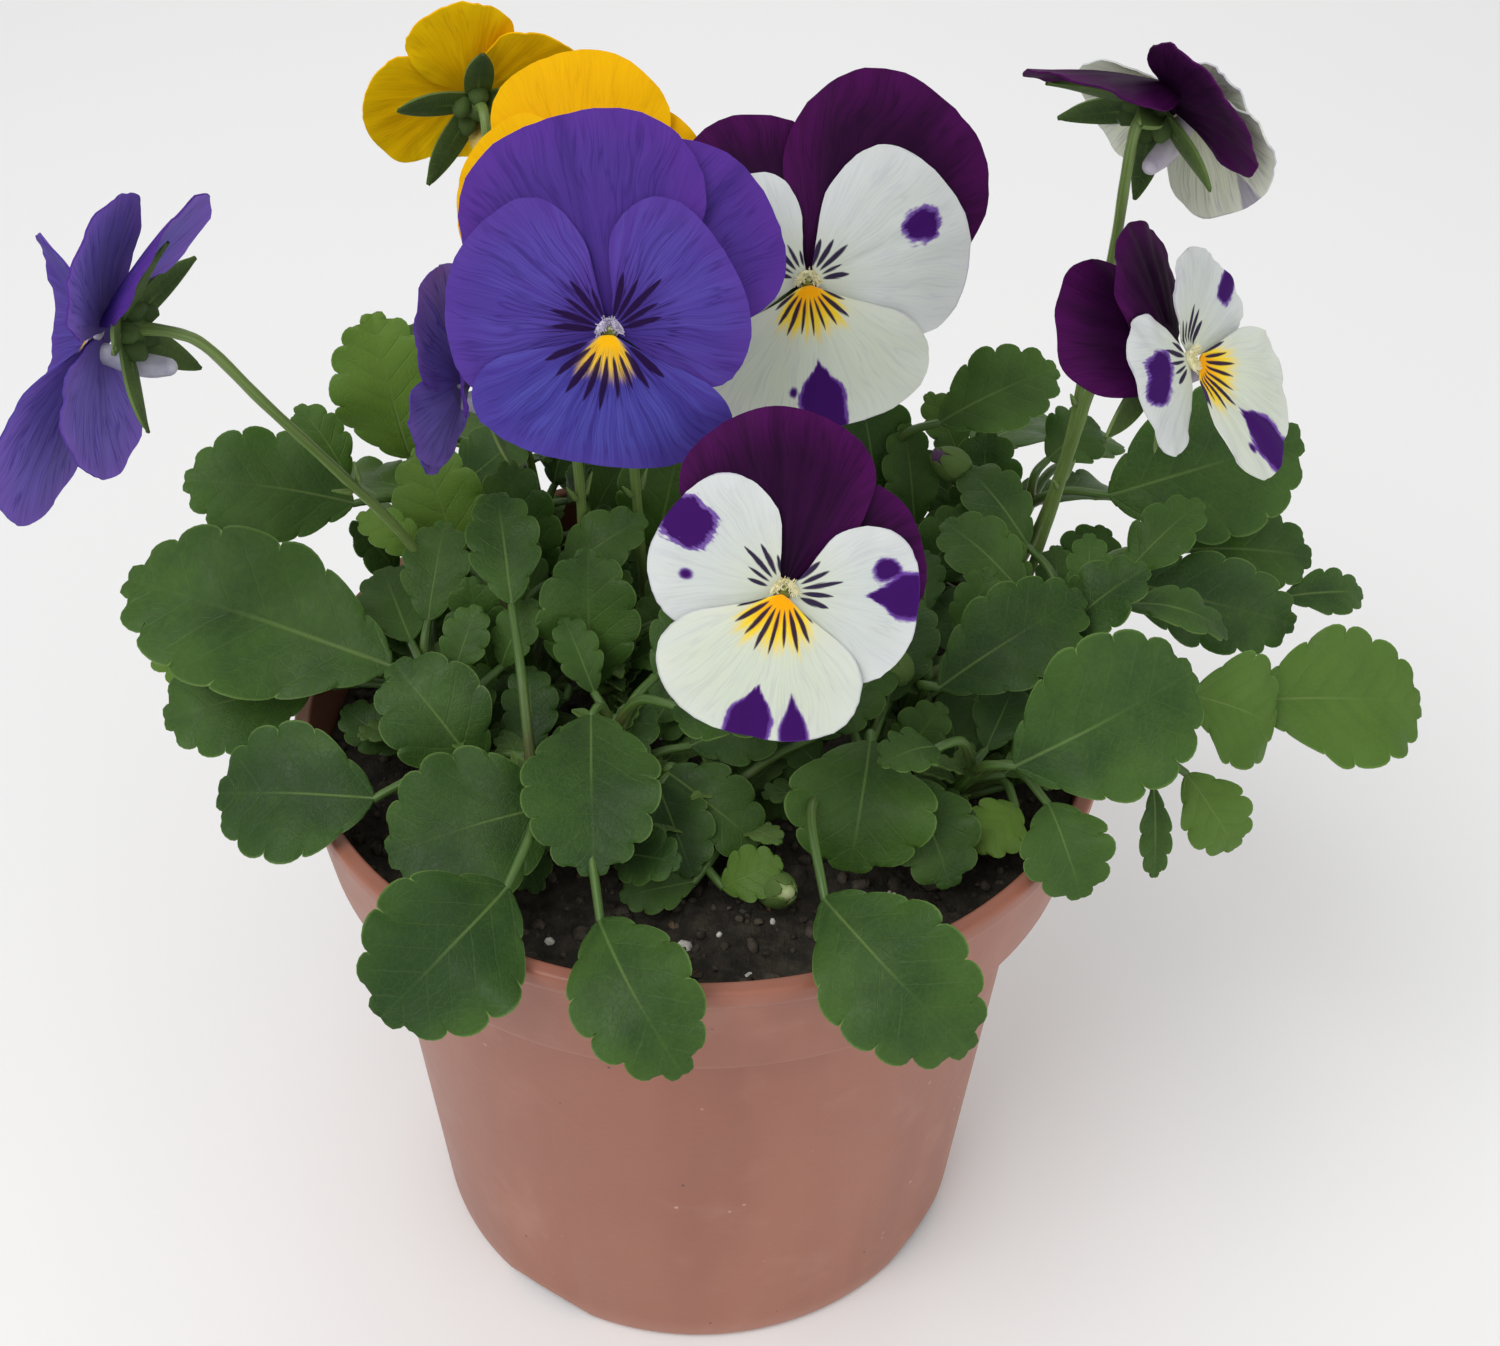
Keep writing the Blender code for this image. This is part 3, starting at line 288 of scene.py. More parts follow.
# Leafy shoots: root on the soil, top of the stem, the large leaves, and how many small ones
SHOOTS = {
    "shoot_left": Shoot((-30, -14), (-37, -16, 106), (
        leaf((-44.5, -29, 105), (-66.5, -26, 103), 20, FRONT, 2.0, 3),
        leaf((-57, -4, 104), (-78, -8, 101), 17, FRONT, 2.0, 2),
        leaf((-31, -21, 103), (-43, -12, 115), 16, FRONT),
    ), 1),
    "shoot_left_front": Shoot((-22, -22), (-23, -27, 106), (
        leaf((-19, -31, 106), (-42, -37, 102), 22, FRONT),
        leaf((-25, -47, 106), (-40, -63, 99), 22, STEEP, 3.5),
        leaf((-29, -21, 97), (-22, -36, 94), 9, FRONT, 1.0, 2),
    ), 1),
    "shoot_left_mid": Shoot((-36, -3), (-40, -6, 110), (
        leaf((-44, -9, 112), (-84, 6, 116), 25, FRONT),
        leaf((-63, 2, 104), (-83, 7, 103), 13, FRONT, 1.5, 2),
    ), 1),
    "shoot_left_back": Shoot((-38, 26), (-44, 28, 112), (
        leaf((-52, 18, 121.5), (-76, 16, 126.5), 18, FRONT),
        leaf((-46, 36, 118), (-50, 39, 142), 18, STEEP),
    ), 1),
    "shoot_inner_left": Shoot((-24, 4), (-27, 4, 110), (
        leaf((-31, -2, 105), (-33, -1, 122), 10, STEEP, 1.5, 2),
        leaf((-37, 18, 112), (-42, 24, 128), 14, STEEP, 1.5, 3),
        leaf((-20, -4, 102), (-36, -3, 99), 10, FRONT, 1.5, 2),
    ), 1),
    "shoot_front_left": Shoot((-10, -18), (-12, -19, 110), (
        leaf((-15, -22, 114), (-14, -44, 105), 19, FRONT),
        leaf((-13, -50, 103), (-2, -68, 94), 17, STEEP, 4.5),
    ), 1),
    "shoot_front": Shoot((2, -22), (3, -24, 102), (
        leaf((-5, -22, 104), (8, -31, 98), 12, FRONT, 1.5, 2),
        leaf((-6, -24, 103), (-1, -36, 97), 11, FRONT, 1.5, 2),
        leaf((-1, -36, 96), (-11, -38, 95), 7, FRONT, 1.0, 2),
        leaf((3, -37, 96), (11, -36, 100), 8, FRONT, 1.0, 2),
        leaf((6, -14, 102), (13, -22, 95), 10, FRONT, 1.0, 2),
    ), 0),
    "shoot_front_right": Shoot((21, -18), (23, -22, 106), (
        leaf((23, -25, 112), (20, -38, 100), 21, FRONT, 3.0, 3),
        leaf((16, -48, 105), (34, -65, 95), 20, STEEP, 5.0),
        leaf((29, -26, 106), (34, -38, 97), 13, FRONT, 1.5, 2),
        leaf((25, -13, 102), (21, -6, 110), 9, STEEP, 1.0, 2),
    ), 0),
    "shoot_right_front": Shoot((33, -16), (38, -24, 106), (
        leaf((42, -31, 113), (66, -23, 123), 23, STEEP),
        leaf((47, -32, 107), (51, -42, 99), 13, STEEP, 2.0, 2),
        leaf((44, -26, 101), (38, -32, 98), 9, FRONT, 1.5, 2),
        leaf((37, -18, 100), (35, -10, 108), 11, STEEP, 1.0, 2),
    ), 1),
    "shoot_inner_right": Shoot((28, -4), (32, -10, 112), (
        leaf((33, -17, 115), (53, -9, 125), 15, FRONT),
        leaf((18, 2, 118), (14, 14, 128), 12, FRONT, 1.5, 2),
        leaf((34, 9, 105), (25, 17, 110), 10, STEEP, 1.0, 2),
        leaf((33, 14, 109), (40, 19, 121), 10, STEEP, 1.0, 2),
    ), 1),
    "shoot_right": Shoot((42, -6), (56, -8, 104), (
        leaf((82, -4, 102), (109, 0, 98), 22, FRONT),
        leaf((71, -9, 107), (84, -9, 101), 18, FRONT, 2.0, 2),
        leaf((70, -17, 99), (78, -21, 88), 11, STEEP, 1.5, 2),
        leaf((65, -19, 98), (66, -24, 85), 5, STEEP, 1.0, 2),
    ), 1),
    "shoot_right_mid": Shoot((44, 4), (54, 2, 112), (
        leaf((60, -3, 119), (76, -4, 114), 8, (1, -1, 4)),
        leaf((62, 10, 114), (90, 8, 107), 15, STEEP),
        leaf((76, 22, 111), (95, 21, 110), 14, FRONT, 2.0, 3),
        leaf((90, 15, 107), (104, 20, 104), 8, FRONT, 1.5, 2),
    ), 1),
    "shoot_right_back": Shoot((42, 30), (52, 31, 114), (
        leaf((62, 22, 121), (91, 26, 129), 24, STEEP),
        leaf((54, 32, 121), (62, 38, 124), 11, FRONT, 1.5, 2),
        leaf((58, 22, 104), (63, 25, 113), 11, STEEP, 1.0, 2),
        leaf((44, 29, 110), (44, 33, 126), 12, STEEP, 1.0, 2),
    ), 1),
    "shoot_back_right": Shoot((26, 30), (29, 33, 120), (
        leaf((36, 28, 130), (54, 34, 136), 14, FRONT, 2.0, 3),
        leaf((27, 29, 118), (24, 36, 132), 14, STEEP, 2.0, 2),
        leaf((33, 24, 114), (31, 31, 128), 9, STEEP, 1.0, 2),
    ), 1),
    "shoot_centre": Shoot((-12, 2), (-14, -2, 108), (
        leaf((-16, -7, 107), (-16, -1, 127), 15, STEEP, 1.5, 3),
        leaf((-4, 0, 102), (-4, 9, 117), 12, STEEP, 1.5, 2),
    ), 2),
    "shoot_middle": Shoot((2, 20), (0, 22, 112), (
        leaf((-7, 20, 112), (-3, 24, 130), 16, STEEP, 1.5, 3),
        leaf((-26, 16, 106), (-29, 20, 128), 13, STEEP, 1.5, 3),
        leaf((8, 18, 106), (6, 22, 124), 14, STEEP, 1.5, 3),
    ), 1),
    "shoot_back": Shoot((2, 42), (2, 48, 112), (
        leaf((2, 56, 112), (0, 82, 106), 23, BACK),
        leaf((12, 52, 110), (28, 72, 103), 20, BACK_RIGHT),
        leaf((-10, 52, 110), (-26, 73, 104), 20, BACK_LEFT),
        leaf((-1, 50, 107), (-3, 70, 97), 15, (0, 4, 3), 3.5, 2),
    ), 2),
    "shoot_back_left": Shoot((-24, 42), (-30, 46, 110), (
        leaf((-38, 52, 110), (-54, 68, 105), 22, BACK_LEFT),
        leaf((-46, 42, 107), (-68, 50, 101), 20, BACK_LEFT),
        leaf((-32, 49, 104), (-42, 64, 95), 14, (-2, 4, 3), 3.0, 2),
    ), 2),
    "shoot_back_far_right": Shoot((28, 43), (34, 44, 110), (
        leaf((46, 52, 110), (64, 66, 105), 22, BACK_RIGHT),
        leaf((54, 42, 106), (77, 48, 100), 19, BACK_RIGHT),
        leaf((36, 50, 104), (45, 65, 95), 14, (2, 4, 3), 3.0, 2),
    ), 2),
}

# Flower buds: tip and girth, by the shoot that carries them
BUDS = {
    "shoot_front": (((12, -41, 99), 2.6),),
    "shoot_inner_right": (((26, -14, 119), 2.2),),
    "shoot_right_back": (((35, 24, 127), 2.6),),
}

# Small leaves that fill the bush: seed, tries for each shoot, and room round a leaf. The spans of what
# is drawn for each stand in the order of the draws; then come width by length, arch and tilt to the front.
SAMPLE_STEP = 1.6
Growth = namedtuple("Growth", "seed tries room spans widths arches tilt")
FILLERS = Growth(11, 60, 2.0, {"reach": (8.0, 20.0), "height": (98.0, 122.0), "length": (11.0, 18.0),
                               "climb": (-20.0, 55.0)}, (0.58, 0.76), (0.8, 2.2), -0.4)
EXTRAS = Growth(29, 160, 1.3, {"climb": (5.0, 70.0), "height": (97.0, 121.0), "reach": (3.0, 15.0),
                               "length": (10.0, 17.0)}, (0.58, 0.78), (0.6, 1.8), -0.7)
EXTRA_LEAVES = 7


# Shapes shared with the CAD

def smooth(value):
    """From 0 to 1, level at both ends."""
    value = np.clip(value, 0.0, 1.0)
    return value * value * (3.0 - 2.0 * value)


def circle(radius, share):
    """A point on a circle, by its share of the way round."""
    turn = 2.0 * math.pi * share
    return radius * math.cos(turn), radius * math.sin(turn)


def spread(frame, x, y, z):
    """Points at x, y and z along the three axes of a frame, from its origin."""
    origin, first, second, third = (np.array(axis) for axis in frame[:4])
    return origin + x[..., None] * first + y[..., None] * second + z[..., None] * third


def curve_through(points, count):
    """Points along a smooth curve through the given ones."""
    ends = [points[0] * 2 - points[1], *points, points[-1] * 2 - points[-2]]
    spans = len(points) - 1
    result = []
    for step in range(count + 1):
        at = spans * step / count
        span = min(int(at), spans - 1)
        t = at - span
        a, b, c, d = ends[span:span + 4]
        result.append(0.5 * (2 * b + (c - a) * t + (2 * a - 5 * b + 4 * c - d) * t * t
                             + (3 * b - a - 3 * c + d) * t ** 3))
    return result


def leaf_frame(blade):
    """Base of a leaf's blade, the ways along it, across it and out of its face, and its length."""
    base = Vector(blade.base)
    along = Vector(blade.tip) - base
    length = along.length
    along.normalize()
    normal = Vector(blade.faces)
    normal = (normal - along * normal.dot(along)).normalized()
    return base, along, normal.cross(along), normal, length


def blade_lift(width, arch, x, y, side):
    """How far a blade lies over its plane: arched along, raised and waved at the edge."""
    out = np.minimum(np.abs(y) / (0.5 * width), 1.0)
    wave = np.sin(2.0 * math.pi * (2.0 * x + 0.25 * np.sign(side)))
    return arch * 4.0 * x * (1.0 - x) + 0.07 * width * out ** 1.5 + 0.035 * width * out * wave, out


def leaf_samples(blade):
    """Points all over a leaf's blade."""
    frame = leaf_frame(blade)
    length = frame[4]
    rows = max(int(length / SAMPLE_STEP), 4)
    columns = max(int(blade.width / SAMPLE_STEP), 2)
    station = np.arange(rows + 1)[:, None] / rows
    side = 2.0 * np.arange(columns + 1)[None, :] / columns - 1.0
    edge_x = 0.5 - 0.5 * np.cos(math.pi * station)
    half = 0.5 * blade.width * np.sin(math.pi * station) * (0.70 + 0.30 * smooth(edge_x / 0.45))
    scallop = np.abs(np.cos(math.pi * (blade.lobes + 0.5) * (1.0 - station))) ** 0.6
    shrink = 1.0 - 0.17 * smooth(station / 0.25) * (1.0 - scallop)
    rib_x = np.maximum(edge_x - 0.11 * np.sin(math.pi * station), 0.0)
    x = rib_x + (edge_x - rib_x) * shrink * np.abs(side)
    y = half * shrink * side
    lift, _out = blade_lift(blade.width, blade.arch, x, y, side)
    return list(spread(frame, length * x, y, lift).reshape(-1, 3))


def petal_outline(petal, turn, inset):
    """Where a petal's edge is, along it and across; inset moves the point towards its middle."""
    x = 0.5 * (petal.reach + PETAL_CLAW) - 0.5 * (petal.reach - PETAL_CLAW) * np.cos(turn) * inset
    y = petal.half_width * np.sin(turn) * (1.0 - 0.20 * np.cos(turn)) * inset
    narrow = 0.45 + 0.55 * smooth(x / (0.3 * petal.reach))
    return x, y * narrow * (1.0 + 0.10 * np.sin(math.pi * np.minimum(x / petal.reach, 1.0)))


def petal_surface(petal, x, y):
    """The petal's curved surface over a point, in its bloom's axes."""
    away = np.hypot(x, y)
    bearing = np.arctan2(y, x)
    lean = math.tan(math.radians(petal.lean))
    depth = -petal.layer - 0.0065 * away ** 2 - lean * np.maximum(away - 3.0, 0.0)
    depth = depth + 0.55 * smooth((away - 9.0) / 10.0) * np.sin(3.0 * bearing + petal.angle)
    depth = depth + 0.35 * np.cos(2.0 * bearing) * smooth(away / 12.0)
    angle = math.radians(petal.angle) + bearing
    return away * np.cos(angle), away * np.sin(angle), depth


def bloom_frame(bloom):
    """Throat of a bloom, right and up in its plane, and the way it faces."""
    turn, rise, roll = (math.radians(angle) for angle in (bloom.turn, bloom.rise, bloom.roll))
    level = math.cos(rise)
    out = Vector((math.sin(turn) * level, -math.cos(turn) * level, math.sin(rise)))
    over = Vector((math.cos(turn), math.sin(turn), 0.0))
    right = over * math.cos(roll) + out.cross(over) * math.sin(roll)
    return Vector(bloom.throat), right, out.cross(right), out


def soil_top(x, y):
    """Height of the soil's surface over a point."""
    away = math.hypot(x, y) / RIM_RADIUS
    wave = noise.noise(Vector((x * 0.06, y * 0.06, 3.0)))
    return SOIL_LEVEL + SOIL_CROWN * (1.0 - away * away) + SOIL_UNEVEN * wave


def stem_foot(x, y):
    """Where a stem starts: the foot in its hole, and a point over the soil."""
    top = soil_top(x, y)
    return Vector((x, y, top - HOLE_DEPTH + GAP)), Vector((x, y, top + 1.0))


def bloom_route(bloom):
    """Centre line of a flower's stem, from the soil to the calyx."""
    foot, level = stem_foot(*bloom.route[0][:2])
    origin, right, up, out = bloom_frame(bloom)
    neck = [origin + right * x + up * y + out * z for x, y, z in (bloom.neck, NECK_END)]
    return [foot, *curve_through([level, *map(Vector, bloom.route[1:]), *neck], 7)]


def sepal_slope(bloom, angle):
    """How steeply a sepal leans back: more where the petal over it leans back far."""
    over = [petal.lean for petal in bloom.petals if abs(petal.angle - angle) < 60.0]
    return max(SEPAL_LEAN, *(0.9 * math.tan(math.radians(lean)) for lean in over), 0.0)


def shoot_route(shoot):
    """Centre line of a shoot's stem."""
    foot, level = stem_foot(*shoot.root)
    top = Vector(shoot.top)
    lean = top - level
    middle = (level + top) * 0.5 + Vector((lean.x * 0.1, lean.y * 0.1, 0.0))
    return [foot, *curve_through([level, middle, top], 4)]


def petiole_route(shoot, blade):
    """Centre line of a leaf's stalk, from the shoot into the blade's rib."""
    route = shoot_route(shoot)
    base = Vector(blade.base)
    along = (Vector(blade.tip) - base).normalized()
    low, high = route[1].z, route[-1].z
    want = min(max((base.z - 6.0 - low) / max(high - low, 1.0), 0.12), 0.96)
    spot = 1 + want * (len(route) - 2)
    step = min(int(spot), len(route) - 2)
    start = route[step].lerp(route[step + 1], spot - step)
    distance = (base - start).length
    lead = start + Vector((0.0, 0.0, 1.0)) * distance * 0.30 + (base - start) * 0.25
    return [start, (lead + base - along * distance * 0.35) * 0.5, base]


def bud_route(shoot, tip):
    """Centre line of a bud's stalk and of the bud that it carries."""
    start = shoot_route(shoot)[-2]
    tip = Vector(tip)
    base = tip - Vector((tip.x - start.x, tip.y - start.y, 14.0)).normalized() * 7.0
    bend = (start + base) * 0.5 + Vector(((base.x - start.x) * 0.2, (base.y - start.y) * 0.2, 0.0))
    return [start, bend, base, base.lerp(tip, 0.3), base.lerp(tip, 0.6), tip]


def route_samples(route):
    points = []
    for low, high in zip(route, route[1:]):
        count = max(int((high - low).length / SAMPLE_STEP), 1)
        points.extend(low.lerp(high, index / count) for index in range(count))
    return [*points, route[-1]]


def stalk_samples(shoot, blade):
    return route_samples(petiole_route(shoot, blade))[3:]


def bloom_samples(bloom):
    """Points all over a flower: along its stem, and on rings of each petal."""
    points = route_samples(bloom_route(bloom))
    turn = 2.0 * math.pi * np.arange(24) / 24
    for petal in bloom.petals:
        for inset in (0.25, 0.5, 0.75, 1.0):
            outline = petal_outline(petal, turn, inset)
            points += list(spread(bloom_frame(bloom), *petal_surface(petal, *outline)))
    return points


# Where the small leaves find room

def random_leaf(shoot, growth, draw):
    """A small leaf at a random place round a shoot, that points away from it."""
    turn = draw.uniform(0.0, 2.0 * math.pi)
    drawn = {key: draw.uniform(*span) for key, span in growth.spans.items()}
    climb = math.radians(drawn["climb"])
    out = Vector((math.cos(turn), math.sin(turn), 0.0))
    base = Vector((*shoot.top[:2], drawn["height"])) + out * drawn["reach"]
    tip = base + (out * math.cos(climb) + Vector((0.0, 0.0, math.sin(climb)))) * drawn["length"]
    faces = Vector((0.0, growth.tilt, 1.0)) - out * 0.3
    width = drawn["length"] * draw.uniform(*growth.widths)
    return Leaf(tuple(base), tuple(tip), width, tuple(faces), draw.uniform(*growth.arches), 2)


def rim_clear(points):
    """True where no point comes through the pot's rim or the soil."""
    low = {True: SOIL_LEVEL + 3.5, False: POT_HEIGHT + 2.0}
    return all(p[2] >= low[math.hypot(p[0], p[1]) < RIM_RADIUS - 4.0] for p in points)


def within_bush(points):
    """True where the points stay inside the outline that the larger leaves give the plant."""
    return all(math.hypot(p[0], p[1]) < 60.0 and p[2] < min(134.0, 112.0 + 0.5 * (p[1] + 25.0))
               for p in points)


def build_tree(points):
    tree = kdtree.KDTree(len(points))
    for index, point in enumerate(points):
        tree.insert(point, index)
    tree.balance()
    return tree


def fill_bush(leaves, growth, wanted, allowed):
    """Adds random leaves to each shoot, at places that are allowed and have room."""
    draw = random.Random(growth.seed)
    taken = [point for bloom in BLOOMS.values() for point in bloom_samples(bloom)]
    for name, shoot in SHOOTS.items():
        taken += route_samples(shoot_route(shoot))
        for blade in leaves[name]:
            taken += leaf_samples(blade) + stalk_samples(shoot, blade)
    tree = build_tree(taken)
    for name, shoot in SHOOTS.items():
        added = 0
        for _attempt in range(growth.tries):
            if added == wanted(shoot):
                break
            blade = random_leaf(shoot, growth, draw)
            face = leaf_samples(blade)
            stalk = stalk_samples(shoot, blade)
            if allowed(face, stalk) and all(tree.find(point)[2] > growth.room for point in face + stalk):
                leaves[name].append(blade)
                taken += face + stalk
                tree = build_tree(taken)
                added += 1


def all_leaves():
    """Every shoot's leaves: the placed ones, the fillers of the CAD and still smaller extra ones."""
    leaves = {name: list(shoot.leaves) for name, shoot in SHOOTS.items()}
    fill_bush(leaves, FILLERS, lambda shoot: shoot.fillers,
              lambda face, stalk: rim_clear(face + stalk[3:]))
    fill_bush(leaves, EXTRAS, lambda shoot: EXTRA_LEAVES,
              lambda face, stalk: within_bush(face) and rim_clear((face + stalk)[:-2]))
    return leaves


# Nodes: formulas written out as sums

def rgb(code):
    """A colour given as six hex digits of screen values, made linear."""
    values = [int(code[at:at + 2], 16) for at in (0, 2, 4)]
    return tuple(((v / 255 + 0.055) / 1.055) ** 2.4 if v > 10 else v / 255 / 12.92 for v in values)


class Number:
    """A number in a material's nodes, with the usual operators."""

    def __init__(self, tree, socket):
        self.tree = tree
        self.socket = socket

    def through(self, kind, setting, choice, *values):
        """What a new node makes of this number and the values."""
        node = self.tree.nodes.new(kind)
        setattr(node, setting, choice)
        for value, entry in zip((self, *values), node.inputs):
            if isinstance(value, Number):
                self.tree.links.new(value.socket, entry)
            else:
                entry.default_value = value
        return Number(self.tree, node.outputs[0])

    def math(self, operation, *others):
        return self.through("ShaderNodeMath", "operation", operation, *others)

    def ease(self, low, high, start=0.0, end=1.0):
        """Smoothly from start to end as the number goes from low to high."""
        return self.through("ShaderNodeMapRange", "interpolation_type", "SMOOTHSTEP", low, high, start, end)

    def fade(self, low, high):
        return self.ease(low, high, 1.0, 0.0)

    def __add__(self, other):
        return self.math("ADD", other)

    def __sub__(self, other):
        return self.math("SUBTRACT", other)

    def __rsub__(self, other):
        return (self * -1.0) + other

    def __mul__(self, other):
        return self.math("MULTIPLY", other)

    def __truediv__(self, other):
        return self.math("DIVIDE", other)

    def __abs__(self):
        return self.math("ABSOLUTE")


class Paint:
    """A material whose colour, roughness and bump come from formulas over the surface."""

    def __init__(self, name, colour):
        self.material = bpy.data.materials.new(name)
        self.material.use_nodes = True
        self.tree = self.material.node_tree
        self.shader = self.tree.nodes["Principled BSDF"].inputs
        self.colour = colour

    def node(self, kind, **settings):
        node = self.tree.nodes.new(kind)
        for key, value in settings.items():
            setattr(node, key, value)
        return node

    def link(self, value, socket):
        """Feeds a socket with another one, a number, or a colour in hex digits."""
        if isinstance(value, Number):
            value = value.socket
        if isinstance(value, bpy.types.NodeSocket):
            self.tree.links.new(value, socket)
        else:
            socket.default_value = (*rgb(value), 1.0) if isinstance(value, str) else value

    def parts(self, kind, output, **settings):
        node = self.node("ShaderNodeSeparateXYZ")
        self.link(self.node(kind, **settings).outputs[output], node.inputs[0])
        return [Number(self.tree, out) for out in node.outputs]

    def uv(self):
        return self.parts("ShaderNodeUVMap", 0, uv_map="UVMap")[:2]

    def place(self):
        return self.parts("ShaderNodeTexCoord", "Object")

    def mark(self, name):
        return self.parts("ShaderNodeAttribute", "Vector", attribute_name=name)

    def pattern(self, kind, parts, constants, **settings):
        vector = self.node("ShaderNodeCombineXYZ")
        for part, socket in zip(parts, vector.inputs):
            self.link(part, socket)
        node = self.node(kind, **settings)
        self.link(vector.outputs[0], node.inputs["Vector"])
        for key, value in constants.items():
            node.inputs[key].default_value = value
        return Number(self.tree, node.outputs[0])

    def noise(self, parts, scale, detail=2.0, rough=0.5):
        constants = {"Scale": scale, "Detail": detail, "Roughness": rough}
        return self.pattern("ShaderNodeTexNoise", parts, constants)

    def cells(self, parts, scale, feature="DISTANCE_TO_EDGE"):
        return self.pattern("ShaderNodeTexVoronoi", parts, {"Scale": scale}, feature=feature)

    def over(self, colour, amount):
        """Lays a colour over what is there."""
        node = self.node("ShaderNodeMix", data_type="RGBA")
        for value, entry in ((amount, 0), (self.colour, 6), (colour, 7)):
            self.link(value, node.inputs[entry])
        self.colour = node.outputs[2]

    def finish(self, rough, height=None, strength=0.0, distance=0.0, shine=None, glow=None):
        """Feeds the shader; glow is the share and the colour of the light that comes through."""
        self.link(self.colour, self.shader["Base Color"])
        self.link(rough, self.shader["Roughness"])
        if height is not None:
            bump = self.node("ShaderNodeBump")
            self.link(height, bump.inputs["Height"])
            bump.inputs["Strength"].default_value = strength
            bump.inputs["Distance"].default_value = distance
            self.link(bump.outputs[0], self.shader["Normal"])
        if shine is not None:
            self.shader["Specular IOR Level"].default_value = shine
        if glow is not None:
            self.shader["Subsurface Weight"].default_value = glow[0]
            self.shader["Subsurface Radius"].default_value = glow[1]
            self.shader["Subsurface Scale"].default_value = GLOW_DEPTH
        return self.material


def leaf_material(name, dark, light, fresh_and_backlit, vein, margin, under=False):
    """Leaf: u and v are tenths of a vein's spacing along and across the blade."""
    paint = Paint(name, dark)
    u, v = paint.uv()
    x = u * 10.0
    y = abs(v - 0.5) * 10.0
    edge, tint, notch = paint.mark("leaf")
    place = paint.place()
    phase = x - y * 0.85 + (paint.noise((x, y, tint * 9.0), 1.3) - 0.5) * 0.2
    side = abs((phase + 0.5).math("FRACT") - 0.5)
    rib = y.fade(0.02, 0.08) * x.ease(1.8, 4.6, 1.0, 0.12)
    veins = side.fade(0.01, 0.06) * edge.fade(0.5, 0.95) * y.ease(0.02, 0.3, 0.3, 1.0)
    net = paint.cells((x, y, tint * 5.0), 4.0).fade(0.0, 0.12)
    blotch = paint.noise(place, 100.0, 3.0)
    fine = paint.noise((x, y, tint * 7.0), 7.0, 3.0)
    # The tint makes a leaf lighter and yellower: partly its own random and young tone, partly painted light
    # on leaves that sit high up or out at the back.
    paint.over(light, (blotch - 0.5) * 1.5 + (fine - 0.5) * 0.5 + tint * 0.95)
    paint.over(fresh_and_backlit, tint.ease(0.7, 1.0, 0.0, 0.9))
    paint.over(light, edge.ease(0.3, 1.0, 0.0, 0.25))
    # Painted shade on one slope of each quilted pillow beside a side vein.
    paint.over(dark, phase.math("FRACT").ease(0.1, 0.5, 0.10, 0.0) * edge.fade(0.2, 0.9))
    paint.over(vein, net * 0.04 + veins * (0.35 if under else 0.07))
    paint.over(vein, rib * (0.7 if under else 0.45))
    paint.over(margin, edge.ease(0.96, 1.0, 0.0, 0.45) + notch.ease(0.35, 0.9, 0.0, 0.8))
    height = fine * 0.4 + paint.noise(place, 1500.0, 2.0) * 0.2 - net * 0.3 - veins * 0.7 - rib
    if under:
        height = height * -1.0
    rough = paint.noise(place, 300.0, 2.0).ease(0.3, 0.7, 0.42, 0.56)
    return paint.finish(rough + (0.12 if under else 0.0), height, 0.42, 0.00022, 0.20, LEAF_GLOW)


def stem_material(name, green, dark, low):
    """Stem: v runs from the soil at 0 to the top at 1."""
    paint = Paint(name, dark)
    u, v = paint.uv()
    place = paint.place()
    streak = paint.noise((u * 24.0, v * 3.0, place[0] * 60.0), 1.0, 3.0)
    spots = paint.noise(place, 420.0, 3.0)
    paint.over(green, streak.ease(0.3, 0.7))
    paint.over(low, v.ease(0.0, 0.45, 0.65, 0.0) * spots.ease(0.35, 0.6))
    height = streak * 0.6 + spots * 0.4
    return paint.finish(spots.ease(0.3, 0.7, 0.38, 0.52), height, 0.4, 0.0002, 0.45, LEAF_GLOW)


def add_eye(paint, away, turn, turned, seed, eye):
    """A coloured patch at the throat that ends in flames along the veins."""
    flame = paint.noise((turned * 9.0, away * 0.05, seed + 7.0), 1.6, 1.0)
    aside = abs(turn).ease(eye.spread * 0.6, eye.spread * 1.5) * eye.reach * 1.3
    limit = away + aside - (flame - 0.5) * eye.reach * 0.7
    paint.over(eye.outer, limit.ease(eye.reach * 0.7, eye.reach * 1.15, 0.97, 0.0))
    paint.over(eye.inner, limit.ease(eye.reach * 0.25, eye.reach * 0.8, 0.95, 0.0))


def add_rays(paint, away, turned, seed, rays):
    """Dark spindle-shaped marks that point out from the throat."""
    step = (turned / rays.gap).math("ROUND").math("MAXIMUM", -rays.most).math("MINIMUM", rays.most)
    luck = ((step * 43.7 + seed).math("SINE") * 97.3).math("FRACT")
    length = luck * (rays.length * 0.35) + rays.length * 0.82 - abs(step) * rays.drop
    share = (away - rays.start) / length
    belly = (share * (1.0 - share) * 4.0).math("MAXIMUM", 0.0).math("POWER", 0.7)
    ragged = (paint.noise((turned * 30.0, away * 0.25, seed), 1.7, 3.0) - 0.5) * (rays.width * 0.9)
    width = (luck * 0.5 + 0.75) * rays.width
    gap = abs(turned - step * rays.gap) * away
    mark = (belly * width + ragged * belly - gap).ease(-0.04, 0.16) * belly.ease(0.02, 0.25)
    paint.over(rays.colour, mark * 0.97)


